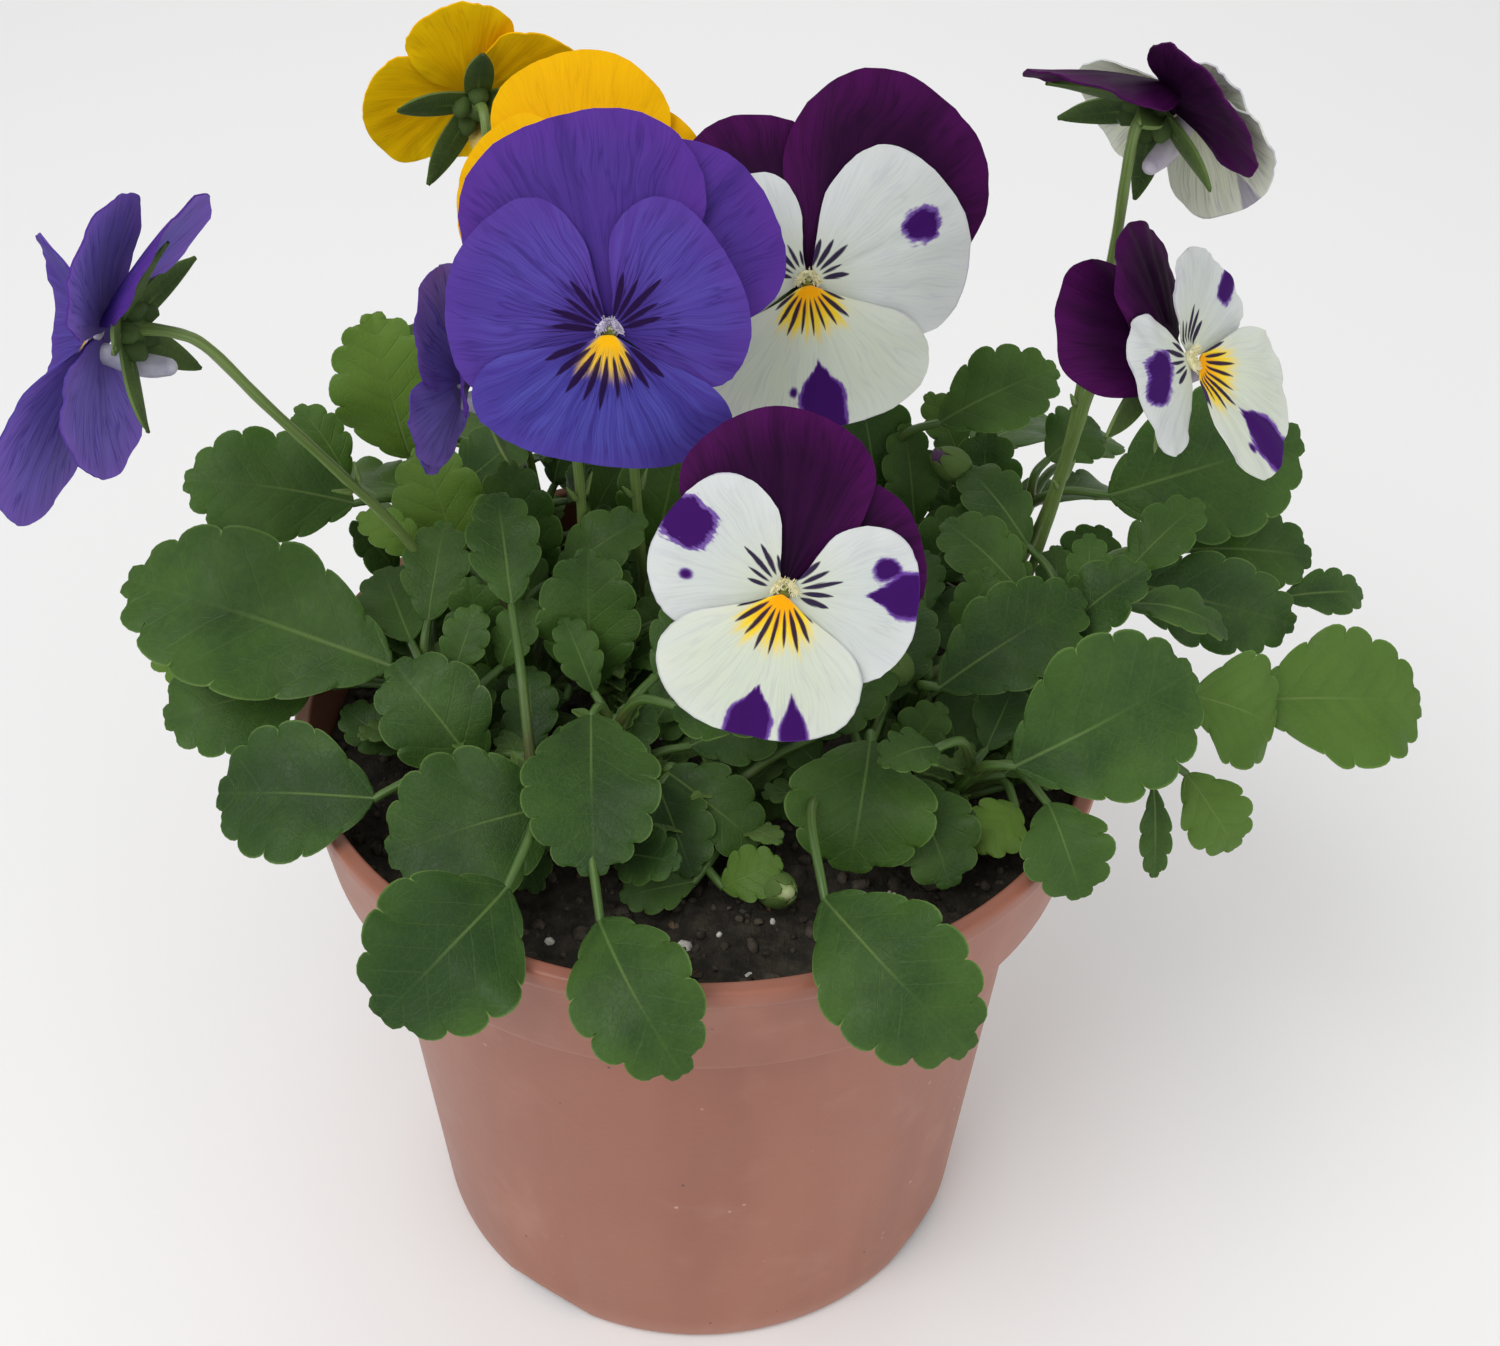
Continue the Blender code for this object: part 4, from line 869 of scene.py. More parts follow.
def add_blots(paint, away, turn, x, y, seed, strength):
    """Violet patches: two spots and two wedges that open towards the edge."""
    fringe = paint.noise((turn * 14.0, away * 0.14, seed + 5.0), 3.0, 3.0, 0.65) - 0.5
    cloudy = paint.noise((x * 0.5, y * 0.5, seed), 1.0, 3.0) - 0.5
    fringes = []
    cores = []
    for which in PATCH_MARKS:
        at, bearing, size = paint.mark(which)
        there = size.ease(0.1, 0.3) * strength
        if which.startswith("spot"):
            across = (turn - bearing) * away
            along = (away - at) * 0.8
            far = (across * across + along * along).math("SQRT") + (fringe * 0.42 + cloudy * 0.75) * size
            fringes.append((far - size).ease(-0.25, 0.2, 0.9, 0.0) * there)
            cores.append((far - size * 0.84).ease(-0.3, 0.15, 1.0, 0.0) * there)
        else:
            beyond = away - at
            widen = beyond.ease(0.0, 5.5) * size
            across = abs(turn - bearing) * away + (fringe * 0.5 + cloudy * 0.7) * size * 0.5
            fringes.append((across - widen).ease(-0.25, 0.2, 0.95, 0.0) * beyond.ease(0.0, 0.6) * there)
            cores.append((across - widen * 0.86).ease(-0.3, 0.15, 1.0, 0.0) * beyond.ease(0.3, 1.1) * there)
    for colour, amounts in ((BLOT_FRINGE, fringes), (BLOT, cores)):
        for amount in amounts:
            paint.over(colour, amount)


def petal_material(name, base, edge_colour, deep, vein, vein_strength, streak=0.3, glow=None, rays=None,
                   eye=None, fold=0.0, blots=0.0, through=0.10):
    """Petal: u and v place a point on the petal, with the throat in the middle."""
    paint = Paint(name, base)
    x, y = ((value - 0.5) * UV_SPAN for value in paint.uv())
    edge, tint, side = paint.mark("petal")
    away = (x * x + y * y).math("SQRT")
    turn = y.math("ARCTAN2", x)
    seed = tint * 17.0
    turned = turn + (paint.noise((x * 0.14, y * 0.14, seed), 1.0, 1.0) - 0.5) * 0.16
    broad = paint.noise((turned * 8.0, away * 0.03, seed), 1.6)
    threads = paint.noise((turned * 14.0, away * 0.06, seed + 3.0), 1.5, 1.0)
    lines = abs(threads - 0.5).fade(0.0, 0.06)
    hairlines = abs(paint.noise((turned * 34.0, away * 0.08, seed + 9.0), 1.5, 1.0) - 0.5).fade(0.0, 0.1)
    cloud = paint.noise(paint.place(), 120.0)
    paint.over(edge_colour, edge.ease(0.45, 1.0) * 0.85 + (cloud - 0.5) * 0.35)
    paint.over(deep, away.ease(2.0, 10.0, 0.75, 0.0) + broad.ease(0.35, 0.75) * streak)
    if glow:
        band = away.ease(5.0, 10.0) * away.ease(12.0, 18.0, 1.0, 0.25)
        paint.over(glow, band * broad.ease(0.35, 0.65, 0.5, 0.0))
    fading = away.ease(2.0, 6.0) * edge.ease(0.75, 1.0, 1.0, 0.35)
    paint.over(vein, (lines * 0.8 + hairlines * 0.35 * away.ease(6.0, 12.0)) * vein_strength * fading)
    # Painted shade along the creased middle line of the petal.
    if fold:
        paint.over(deep, abs(y).ease(0.0, 1.3, fold, 0.0) * away.ease(3.0, 8.0))
    if eye:
        add_eye(paint, away, turn, turned, seed, eye)
    if rays:
        paint.over(rays.colour, lines * away.ease(1.5, 3.0) * away.ease(5.0, 10.5, rays.feather, 0.0))
        add_rays(paint, away, turned + side * rays.shift, seed, rays)
    if blots:
        add_blots(paint, away, turn, x, y, seed, blots)
        paint.over(BLOT_FRINGE, edge.ease(0.97, 1.0, 0.0, 0.3) * cloud.ease(0.45, 0.6))
    height = broad * 0.7 + threads * 0.35 + hairlines * 0.05
    return paint.finish(cloud.ease(0.3, 0.7, 0.58, 0.70), height, 0.15, 0.00030, 0.06,
                        (through, tuple(max(c, 0.15) for c in rgb(base))))


def pot_material():
    paint = Paint("Terracotta_plastic", "965d4a")
    x, y, z = place = paint.place()
    broad = paint.noise(place, 14.0, 3.0)
    flow = paint.noise((x, y, z * 0.12), 70.0, 3.0)
    grain = paint.noise(place, 900.0, 3.0)
    dust = paint.noise(place, 45.0, 4.0, 0.65)
    rare = paint.noise(place, 260.0, 1.0).ease(0.64, 0.68)
    pale = paint.cells((x + 3.0, y, z), 210.0, "F1").ease(0.04, 0.09, 0.7, 0.0)
    paint.over("a06854", broad.ease(0.3, 0.7))
    paint.over("8a5444", flow.ease(0.45, 0.75, 0.0, 0.5))
    paint.over("be9282", dust.ease(0.52, 0.78, 0.0, 0.3))
    paint.over("c49e8e", z.ease(0.0, 0.006, 0.25, 0.0))
    paint.over("462c24", paint.cells(place, 330.0, "F1").ease(0.05, 0.12, 0.85, 0.0) * rare)
    paint.over("ceaa9c", pale * dust.ease(0.5, 0.6))
    rough = (broad * 0.5 + dust * 0.5).ease(0.35, 0.65, 0.38, 0.52)
    return paint.finish(rough, grain * 0.6 + dust * 0.8 + flow * 0.5, 0.30, 0.0002, 0.45)


def soil_material(name, dark, light, shift):
    paint = Paint(name, dark)
    x, y, z = place = paint.place()
    clod = paint.noise(place, 330.0 + shift, 5.0, 0.7)
    fibre = paint.noise((x * 4.0, y, z), 700.0, 3.0)
    broad = paint.noise(place, 60.0 + shift, 3.0)
    paint.over(light, clod.ease(0.35, 0.75) * 0.7 + broad.ease(0.4, 0.7) * 0.4)
    paint.over("68543e", fibre.ease(0.66, 0.74, 0.0, 0.45))
    return paint.finish(clod.ease(0.3, 0.7, 0.80, 0.97), clod + fibre * 0.4, 0.9, 0.0008, 0.25)


def plain_material(name, dark, light, scale, rough, weight):
    paint = Paint(name, dark)
    grain = paint.noise(paint.place(), scale, 3.0)
    paint.over(light, grain.ease(0.3, 0.7))
    return paint.finish(rough, grain, 0.4, 0.0002, 0.35, (weight, (1.0, 0.9, 0.7)))


# Blooms' colours. Rays: gap between them, number to a side, start, length, loss of length to the sides,
# width, shift to the petal's side, strength of the finer lines and colour. Eye: reach, spread to the
# sides, and the colours inside and outside.
Rays = namedtuple("Rays", "gap most start length drop width shift feather colour")
Eye = namedtuple("Eye", "reach spread inner outer")
BLOT = "3a105c"
BLOT_FRINGE = "623096"
GOLD = "f0b206"
INK = "200c36"
BROWN = "3c180a"
BLUE = dict(vein="2e1c64", vein_strength=0.48, streak=0.2)
YELLOW = dict(vein="cc9202", vein_strength=0.35, streak=0.25)
WHITE = dict(vein="a09eb0", vein_strength=0.22, streak=0.10, blots=1.0)
# Each petal's main colour, the one at its edge and the one near the throat, then what else it has
PETAL_LOOKS = {
    "Blue_upper": ("4a3286", "583290", "36246e", dict(fold=0.4, **BLUE)),
    "Blue_lateral": ("4c3a90", "563892", "3a2c7a", dict(
        glow="544aa0", rays=Rays(0.27, 2, 1.4, 6.4, 0.7, 0.42, 0.30, 0.8, INK), **BLUE)),
    "Blue_lower": ("423c92", "4c3a92", "362c7a", dict(
        glow="5454aa", rays=Rays(0.25, 4, 2.8, 6.6, 0.45, 0.42, 0.0, 0.8, INK),
        eye=Eye(5.8, 0.9, GOLD, "e2b83c"), **BLUE)),
    # The back is much lighter than the front: partly the paler back of the real petal, partly painted light
    # for the shade that the backs lie in.
    "Blue_back": ("7a6cc4", "8466c6", "6a58ac", dict(
        vein="4c3c8e", vein_strength=0.7, through=0.05)),
    "Yellow_upper": ("ecb002", "f0b604", "da9a01", YELLOW),
    "Yellow_lateral": ("ecb002", "f0b604", "e09c01", dict(
        rays=Rays(0.36, 1, 1.6, 4.2, 0.5, 0.2, 0.3, 0.0, BROWN), **YELLOW)),
    "Yellow_lower": ("eaac02", "eeb404", "e09201", dict(
        rays=Rays(0.24, 3, 1.8, 4.6, 0.3, 0.2, 0.0, 0.0, BROWN),
        eye=Eye(4.4, 0.7, "e48208", GOLD), **YELLOW)),
    # Lighter than the front: partly the petal's own paler back, partly painted light.
    "Yellow_back": ("fac804", "fcd00a", "eab002", dict(
        vein="c68e02", vein_strength=0.35, through=0.05)),
    "White_upper": ("cccfcc", "d2d4d4", "bcc1b4", WHITE),
    "White_lateral": ("c8ceca", "d0d3d3", "c6ccb6", dict(
        rays=Rays(0.27, 2, 2.0, 4.8, 0.9, 0.36, 0.34, 0.0, INK), **WHITE)),
    "White_lower": ("cbd3c2", "d0d5cc", "d2d2a8", dict(
        rays=Rays(0.25, 4, 2.0, 5.8, 0.4, 0.32, 0.0, 0.0, INK),
        eye=Eye(7.2, 1.05, "f6a404", "eece28"), **WHITE)),
    # Lighter than the front: partly the petal's own paler back, partly painted light that stands in for light
    # coming through the shaded petals.
    "White_back": ("e2e6d0", "e6e9dc", "d4daac", dict(
        vein="928e9c", vein_strength=0.45, blots=0.35, through=0.05)),
    "Purple_upper": ("2e0832", "4c0e50", "16041a", dict(
        vein="1c0520", vein_strength=0.5, streak=0.35, fold=0.35)),
    "Purple_back": ("340e38", "4c1650", "260a2a", dict(
        vein="200824", vein_strength=0.6, through=0.05)),
}
# Two shades, the grain's scale, roughness and the share of light that comes through
PLAIN_LOOKS = {
    # Throat_hollow is dark olive: partly the throat's own green, partly painted shade of its hole.
    "Throat_hollow": ("58601e", "7a7c2c", 900.0, 0.6, 0.0),
    "Stigma": ("929e54", "acb46c", 900.0, 0.5, 0.1),
    "Blue_beard": ("b2aac4", "d6d0dc", 900.0, 0.6, 0.1),
    "Yellow_beard": ("e2b01e", "f0cc5a", 900.0, 0.6, 0.1),
    "White_beard": ("ded6a0", "eeeacc", 900.0, 0.6, 0.1),
    "Blue_spur": ("9696aa", "bcbcc8", 300.0, 0.5, 0.1),
    "Yellow_spur": ("ceb050", "e4ce7c", 300.0, 0.5, 0.1),
    "White_spur": ("aaa2b4", "cec8ce", 300.0, 0.5, 0.1),
    "Bud_pale": ("92a468", "bec496", 300.0, 0.5, 0.1),
    "Bud_purple": ("46284c", "6e4c70", 300.0, 0.55, 0.1),
    "Perlite": ("a8a49a", "d8d5cc", 1200.0, 0.85, 0.0),
    "Bark_bits": ("544230", "7c664c", 600.0, 0.85, 0.0),
}
# Dark and light green, fresh green that also serves as painted backlight, veins and margin
LEAF_LOOKS = {
    "Leaf_top": ("254018", "466526", "648430", "708a48", "708c46"),
    "Leaf_under": ("3e582a", "5c763a", "7e984a", "80965a", "789050", True),
    "Sepal": ("324624", "5c7436", "708a42", "687e42", "788e54", True),
}
STEM_LOOKS = {
    "Leaf_stalk": ("567432", "3a5624", "584c2e"),
    "Flower_stem": ("78904e", "5a7236", "545830"),
}
SOIL_LOOKS = {
    "Peat": ("221f1a", "4c463c", 0.0),
    "Peat_crumbs": ("2a2620", "625a4e", 60.0),
}


def make_materials():
    made = {"Terracotta_plastic": pot_material()}
    for name, (*colours, more) in PETAL_LOOKS.items():
        made[name] = petal_material(name, *colours, **more)
    for make, looks in ((plain_material, PLAIN_LOOKS), (leaf_material, LEAF_LOOKS),
                        (stem_material, STEM_LOOKS), (soil_material, SOIL_LOOKS)):
        for name, values in looks.items():
            made[name] = make(name, *values)
    return made


# Meshes

def link_object(name, data):
    item = bpy.data.objects.new(name, data)
    bpy.context.scene.collection.objects.link(item)
    return item


def stacked(shape, *parts):
    """Arrays or single values side by side along a last axis."""
    return np.stack([np.broadcast_to(part, shape) for part in parts], axis=2)


class Pile:
    """Points, faces, places on the surface and marks, gathered into one mesh."""

    def __init__(self, name, materials, mark="leaf"):
        self.name = name
        self.materials = materials
        self.mark = mark
        self.points = []
        self.faces = []
        self.slots = []
        self.uvs = []
        self.marks = {key: [] for key in ((mark, *PATCH_MARKS) if mark == "petal" else (mark,))}
        self.count = 0

    def add(self, points, faces, slots, uvs, mark, patches=None):
        points = np.asarray(points, dtype=float).reshape(-1, 3)
        self.points.append(points)
        self.uvs.append(np.broadcast_to(uvs, (len(points), 2)))
        for key, rows in self.marks.items():
            row = mark if key == self.mark else (patches or {}).get(key, NO_PATCH)
            rows.append(np.broadcast_to(row, (len(points), 3)))
        self.faces.extend(tuple(int(i) + self.count for i in face) for face in faces)
        self.slots.extend(slots if hasattr(slots, "__len__") else [slots] * len(faces))
        self.count += len(points)

    def build(self):
        mesh = bpy.data.meshes.new(self.name)
        mesh.from_pydata(np.concatenate(self.points) * MM, [], self.faces)
        for material in self.materials:
            mesh.materials.append(material)
        mesh.polygons.foreach_set("material_index", self.slots)
        corners = np.empty(len(mesh.loops), dtype=np.int32)
        mesh.loops.foreach_get("vertex_index", corners)
        layer = mesh.uv_layers.new(name="UVMap")
        layer.data.foreach_set("uv", np.concatenate(self.uvs)[corners].ravel())
        for key, rows in self.marks.items():
            attribute = mesh.attributes.new(key, "FLOAT_VECTOR", "POINT")
            attribute.data.foreach_set("vector", np.concatenate(rows).ravel())
        mesh.update()
        mesh.shade_smooth()
        mesh.set_sharp_from_angle(angle=math.radians(SHARP))
        return link_object(self.name, mesh)


def grid_normals(grid, closed):
    """Unit normals of a grid of points; closed joins its last column to its first."""
    down = np.gradient(grid, axis=0)
    over = np.roll(grid, -1, 1) - np.roll(grid, 1, 1) if closed else np.gradient(grid, axis=1)
    normals = np.cross(down, over)
    return normals / np.maximum(np.linalg.norm(normals, axis=2, keepdims=True), 1e-9)


def add_shell(pile, grid, half, place, mark, top, under, closed=False, patches=None):
    """A thin closed blade: an upper and an under face round a grid of points."""
    shape = grid.shape[:2]
    size = shape[0] * shape[1]
    offset = grid_normals(grid, closed) * np.broadcast_to(half, shape)[..., None]
    index = np.arange(size).reshape(shape)
    after = np.roll(index, -1, 1)
    wide = slice(None) if closed else slice(-1)
    quads = (index[:-1, wide], index[1:, wide], after[1:, wide], after[:-1, wide])
    a, b, c, d = (corner.ravel() for corner in quads)
    faces = [*zip(a, b, c, d), *zip(d + size, c + size, b + size, a + size)]
    slots = [top] * len(a) + [under] * len(a)
    rims = [(index[-1, wide], after[-1, wide])]
    if not closed:
        rims.append((after[0, wide], index[0, wide]))
        rims.append((index[:-1, 0], index[1:, 0]))
        rims.append((index[1:, -1], index[:-1, -1]))
    for start, end in rims:
        faces += zip(start, start + size, end + size, end)
    slots += [top] * (len(faces) - len(slots))
    if closed:
        faces += [tuple(index[0]), tuple(index[0][::-1] + size)]
        slots += [top, under]
    uvs, marks = (np.tile(stacked(shape, *parts).reshape(size, -1), (2, 1)) for parts in (place, mark))
    pile.add(np.stack([grid + offset, grid - offset]), faces, slots, uvs, marks, patches)


def add_rings(pile, rings, slot, uvs, mark, from_top=False):
    """A closed round body from its rings of points, given from its foot or from its top."""
    rings = np.array(rings)
    index = np.arange(rings[..., 0].size).reshape(rings.shape[:2])
    after = np.roll(index, -1, 1)
    quads = (index[:-1], after[:-1], after[1:], index[1:])
    ends = (index[0][::-1], index[-1])
    if from_top:
        quads = [quads[corner] for corner in (0, 3, 2, 1)]
        ends = [end[::-1] for end in ends]
    faces = [*zip(*(corner.ravel() for corner in quads)), *(tuple(end) for end in ends)]
    pile.add(rings, faces, slot, uvs, mark)


def add_tube(pile, points, radii, slot, mark, sides=10):
    """A round stem through the points, closed at both ends."""
    line = np.array([tuple(point) for point in points])
    ahead = np.gradient(line, axis=0)
    ahead /= np.linalg.norm(ahead, axis=1, keepdims=True)
    across = np.cross(ahead[0], (0.3, 0.5, 0.81))
    share = np.arange(sides) / sides
    turn = 2.0 * math.pi * share[:, None]
    rings = []
    for point, way, radius in zip(line, ahead, radii):
        across = across - way * np.dot(across, way)
        across /= np.linalg.norm(across)
        other = np.cross(way, across)
        rings.append(point + (across * np.cos(turn) + other * np.sin(turn)) * radius)
    shape = (len(line), sides)
    uvs = stacked(shape, share[None, :], np.linspace(0.0, 1.0, len(line))[:, None]).reshape(-1, 2)
    add_rings(pile, rings, slot, uvs, mark)


def add_ball(pile, centre, axes, slot, tint, rings=8, sides=12):
    """A round body: centre, and its three half axes."""
    tilt = math.pi * (0.02 + 0.96 * np.arange(rings + 1)[:, None] / rings)
    turn = 2.0 * math.pi * np.arange(sides)[None, :] / sides
    points = spread((centre, *axes), np.sin(tilt) * np.cos(turn), np.sin(tilt) * np.sin(turn), np.cos(tilt))
    add_rings(pile, points, slot, UV_MIDDLE, (0.0, tint, 0.0), True)


def add_knob(pile, frame, height, depth, sizes, slot, tint):
    """A round body on the middle line of a bloom."""
    centre = frame[0] + frame[2] * height + frame[3] * depth
    add_ball(pile, centre, [axis * size for axis, size in zip(frame[1:], sizes)], slot, tint)


# Leaves

def strip(rows, columns, start=0.0):
    """Shares of the way along a narrow leaf, and of the way across it from -1 to 1."""
    return np.linspace(start, 1.0, rows)[:, None], np.linspace(-1.0, 1.0, columns)[None, :]


def small_axes(way):
    """The ways along a small leaf, across it and out of its face."""
    across = np.cross(way, (0.0, 0.0, 1.0))
    across /= np.linalg.norm(across)
    return way, across, np.cross(across, way)


def tooth_rows(teeth):
    """Where the blade's rows lie, and how far each is up its tooth: 0 in a notch, 1 on the tooth."""
    stations = [(0.012, 1.0), (0.04, 1.0), (0.08, 1.0)]
    pitch = (0.97 - FIRST_TOOTH) / (teeth + 0.5)
    for number in range(teeth):
        for share in TOOTH:
            up = math.sqrt(max(0.0, 1.0 - (2.0 * share ** 0.85 - 1.0) ** 2)) if share > 0.0 else 0.0
            stations.append((FIRST_TOOTH + pitch * (number + share), up))
    for share in LAST_TOOTH:
        stations.append((FIRST_TOOTH + pitch * (teeth + 0.5 * share), min(1.0, math.sqrt(share * 2.0))))
    return np.array(stations)


def add_blade(pile, frame, width, arch, tint, columns, draw):
    """A leaf's blade with rounded teeth and sunk veins; gives points along the rib under it."""
    length = frame[4]
    teeth = min(6, max(4, round(length / 4.3)))
    rows = tooth_rows(teeth)
    station = rows[:, :1]
    crest = rows[:, 1:]
    side = np.linspace(-1.0, 1.0, columns)[None, :]
    side = np.sign(side) * np.abs(side) ** 0.9
    reach = np.abs(side)
    edge_x = 0.5 - 0.5 * np.cos(math.pi * station)
    half = 0.5 * width * np.sin(math.pi * station) * (0.66 + 0.34 * smooth(edge_x / 0.45))
    uneven = 1.0 + 0.25 * np.sin(9.0 * station + draw.uniform(0, 6) + side)
    depth = np.minimum(1.15 * uneven, 0.30 * half) / np.maximum(half, 0.3)
    cut = depth * (1.0 - crest) * reach ** 3
    rib_x = np.maximum(edge_x - 0.11 * np.sin(math.pi * station), 0.0)
    x = rib_x + (edge_x * (1.0 - 0.35 * cut) - rib_x) * reach
    y = half * (1.0 - cut) * side
    lift, out = blade_lift(width, arch, x, y, side)
    lift += 0.022 * width * out ** 2 * np.sin(15.0 * x + draw.uniform(0, 6) + 2.0 * np.sign(side))
    spacing = length / (teeth + 1.0)
    phase = x * length / spacing - 0.85 * np.abs(y) / spacing
    pillow = np.sin(math.pi * phase) ** 2 * smooth(np.abs(y) / (0.35 * half + 0.1)) * (1.0 - reach ** 6)
    lift += 0.030 * spacing * pillow + 0.012 * spacing
    lift -= 0.10 * np.exp(-(y / 0.7) ** 2) * length / 20.0
    lift -= 0.25 * cut * half * reach ** 4
    grid = spread(frame, x * length, y, lift)
    place = (x * length / spacing * 0.1, 0.5 + y / spacing * 0.1)
    mark = (reach, tint, (1.0 - crest) ** 3 * reach ** 6)
    add_shell(pile, grid, 0.20 * (1.0 - 0.5 * reach ** 3), place, mark, LEAF_TOP, LEAF_UNDER)
    return [grid[row, columns // 2] - np.array(frame[3]) * 0.28 for row in range(1, len(rows), 4)][:-2]


def add_leaf(pile, shoot, blade, draw):
    """A leaf on its stalk; lighter where it is small, and with painted light where it is high up or far out
    and behind.
    """
    frame = leaf_frame(blade)
    length = frame[4]
    x, y, z = blade.tip
    # Painted light: a leaf high up, far out and behind, or far out at the side and low gets more tint, which
    # paints it lighter and yellower as if lit through. Small leaves and the random share keep their own
    # lighter tone.
    shares = ((z - 108.0) / 22.0, (abs(x) - 25.0) / 50.0, (y + 10.0) / 35.0)
    high, outer, behind = (min(max(share, 0.0), 1.0) for share in shares)
    tint = draw.uniform(0.0, 0.5) + 0.12 * high + (0.75 if x < 0.0 else 0.15) * outer * behind
    tint += (0.2 if length < 14.0 else 0.0) + (0.4 if abs(x) > 75.0 and z < 104.0 else 0.0)
    if draw.random() < 0.12:
        tint += 0.3
    tint = min(tint, 1.0)
    rib = add_blade(pile, frame, blade.width, blade.arch, tint, 13 if length > 17.0 else 9, draw)
    stalk = curve_through(petiole_route(shoot, blade), 14)[:-1]
    thin = [0.85 - 0.25 * number / len(stalk) for number in range(len(stalk))]
    thin += [0.50 * (1.0 - number / len(rib)) + 0.10 for number in range(len(rib))]
    add_tube(pile, stalk + rib, thin, LEAF_STALK, (0.0, tint, 0.0), 8)


def add_young_leaves(pile, shoot, draw):
    """Small leaves low on a shoot's stem, and stipules all the way up."""
    route = [np.array(point) for point in curve_through(shoot_route(shoot)[1:], 24)]
    turn = draw.uniform(0.0, 6.3)
    for root in route[2:7]:
        turn += 2.4
        rise = math.radians(draw.uniform(8.0, 42.0))
        level = math.cos(rise)
        axes = small_axes(np.array([math.cos(turn) * level, math.sin(turn) * level, math.sin(rise)]))
        way, _across, normal = axes
        length = draw.uniform(7.0, 11.5)
        reach = draw.uniform(3.0, 8.0)
        if np.hypot(*(root + way * (reach + length))[:2]) > RIM_RADIUS - 5.0:
            length *= 0.6
        base = root + way * reach
        tint = draw.uniform(0.1, 0.75)
        add_blade(pile, (base, *axes, length), length * draw.uniform(0.5, 0.75), 0.8, tint, 7, draw)
        stalk = [root, root + way * reach * 0.5 + normal * 0.4, base + way * 0.6]
        add_tube(pile, stalk, (0.6, 0.5, 0.35), LEAF_STALK, (0.0, tint, 0.0), 6)
    for root in route[5::5]:
        for flip in (-1.0, 1.0):
            turn += 1.9 * flip
            way = np.array([math.cos(turn) * 0.8, math.sin(turn) * 0.8, 0.6])
            add_stipule(pile, root, way, draw.uniform(5.0, 8.5), draw.uniform(0.2, 0.8))


def add_stipule(pile, root, way, length, tint):
    """A narrow lobed leaf that sits on the stem."""
    share, side = strip(21, 7, 0.02)
    lobes = 0.50 + 0.50 * np.abs(np.cos(math.pi * 3.5 * share)) ** 0.7
    half = length * 0.20 * np.sin(math.pi * share ** 0.8) ** 0.8 * lobes + 0.12
    x = length * (share + 0.10 * np.abs(side) ** 2 * (1.0 - share))
    y = half * side
    lift = length * (0.25 * share - 0.40 * share ** 2) + 0.25 * np.abs(y)
    add_shell(pile, spread((root, *small_axes(way)), x, y, lift), 0.18, (share * 0.6, 0.5 + side * 0.1),
              (np.abs(side), tint, 0.0), LEAF_TOP, LEAF_UNDER)


def add_shoot_stem(pile, shoot):
    """A shoot's stem, a little thinner upwards, with a rounded top."""
    route = shoot_route(shoot)
    line = [route[0], *curve_through(route[1:], 16)]
    radii = [STEM_RADIUS * (1.0 - 0.3 * step / len(line)) * (1.0 + 0.05 * math.sin(2.1 * step))
             for step in range(len(line))]
    add_tube(pile, line, radii, LEAF_STALK, (0.0, 0.4, 0.0), 12)
    add_ball(pile, route[-1], ((1.15, 0, 0), (0, 1.15, 0), (0, 0, 1.5)), LEAF_STALK, 0.6)


def add_bud(pile, shoot, tip, girth):
    """A flower bud: a pointed body in five sepals."""
    line = bud_route(shoot, tip)
    stalk = curve_through(line[:3], 12)
    add_tube(pile, stalk, [0.72] * len(stalk), LEAF_STALK, (0.0, 0.6, 0.0), 8)
    base = line[2]
    length = (line[-1] - base).length
    way = (line[-1] - base).normalized()
    first = way.orthogonal().normalized()
    second = way.cross(first)
    share = np.arange(13) / 12
    girths = 0.28 + 0.72 * np.sin(math.pi * np.minimum(0.12 + share * 0.86, 1.0)) ** 0.8
    body = [base + way * (length * at) for at in share]
    add_tube(pile, body, girth * girths * (1 - 0.35 * share), BUD_TIP, (0.0, 0.8, 0.5), 14)
    share, side = strip(12, 5)
    swell = 0.34 + 0.72 * np.sin(math.pi * np.minimum(0.12 + share * 0.80, 1.0)) ** 0.8
    swell = girth * swell * (1 - 0.3 * share)
    tilt = side * 0.62 * girth * np.sin(math.pi * (0.16 + 0.80 * share)) ** 0.8 / np.maximum(swell, 0.4)
    for number in range(5):
        x, y = circle(1.0, number / 5)
        away = first * x + second * y
        grid = spread((base, way, away, way.cross(away)), share * length * 0.92, swell * np.cos(tilt) * 1.06,
                      swell * np.sin(tilt) * 1.06)
        add_shell(pile, grid, 0.16, (share, 0.5 + side * 0.2), (np.abs(side), 0.75, 0.0),
                  LEAF_UNDER, LEAF_UNDER)


def make_leafy_shoot(name, shoot, leaves, materials):
    """One piece of stem, leaves on their stalks, buds, young leaves and stipules."""
    draw = random.Random(name)
    tip = "Bud_purple" if name == "shoot_right_back" else "Bud_pale"
    pile = Pile(name + "_foliage", [materials[key] for key in ("Leaf_top", "Leaf_under", "Leaf_stalk", tip)])
    add_shoot_stem(pile, shoot)
    for blade in leaves:
        add_leaf(pile, shoot, blade, draw)
    for tip_place, girth in BUDS.get(name, ()):
        add_bud(pile, shoot, tip_place, girth)
    add_young_leaves(pile, shoot, draw)
    return pile.build()


# Blooms

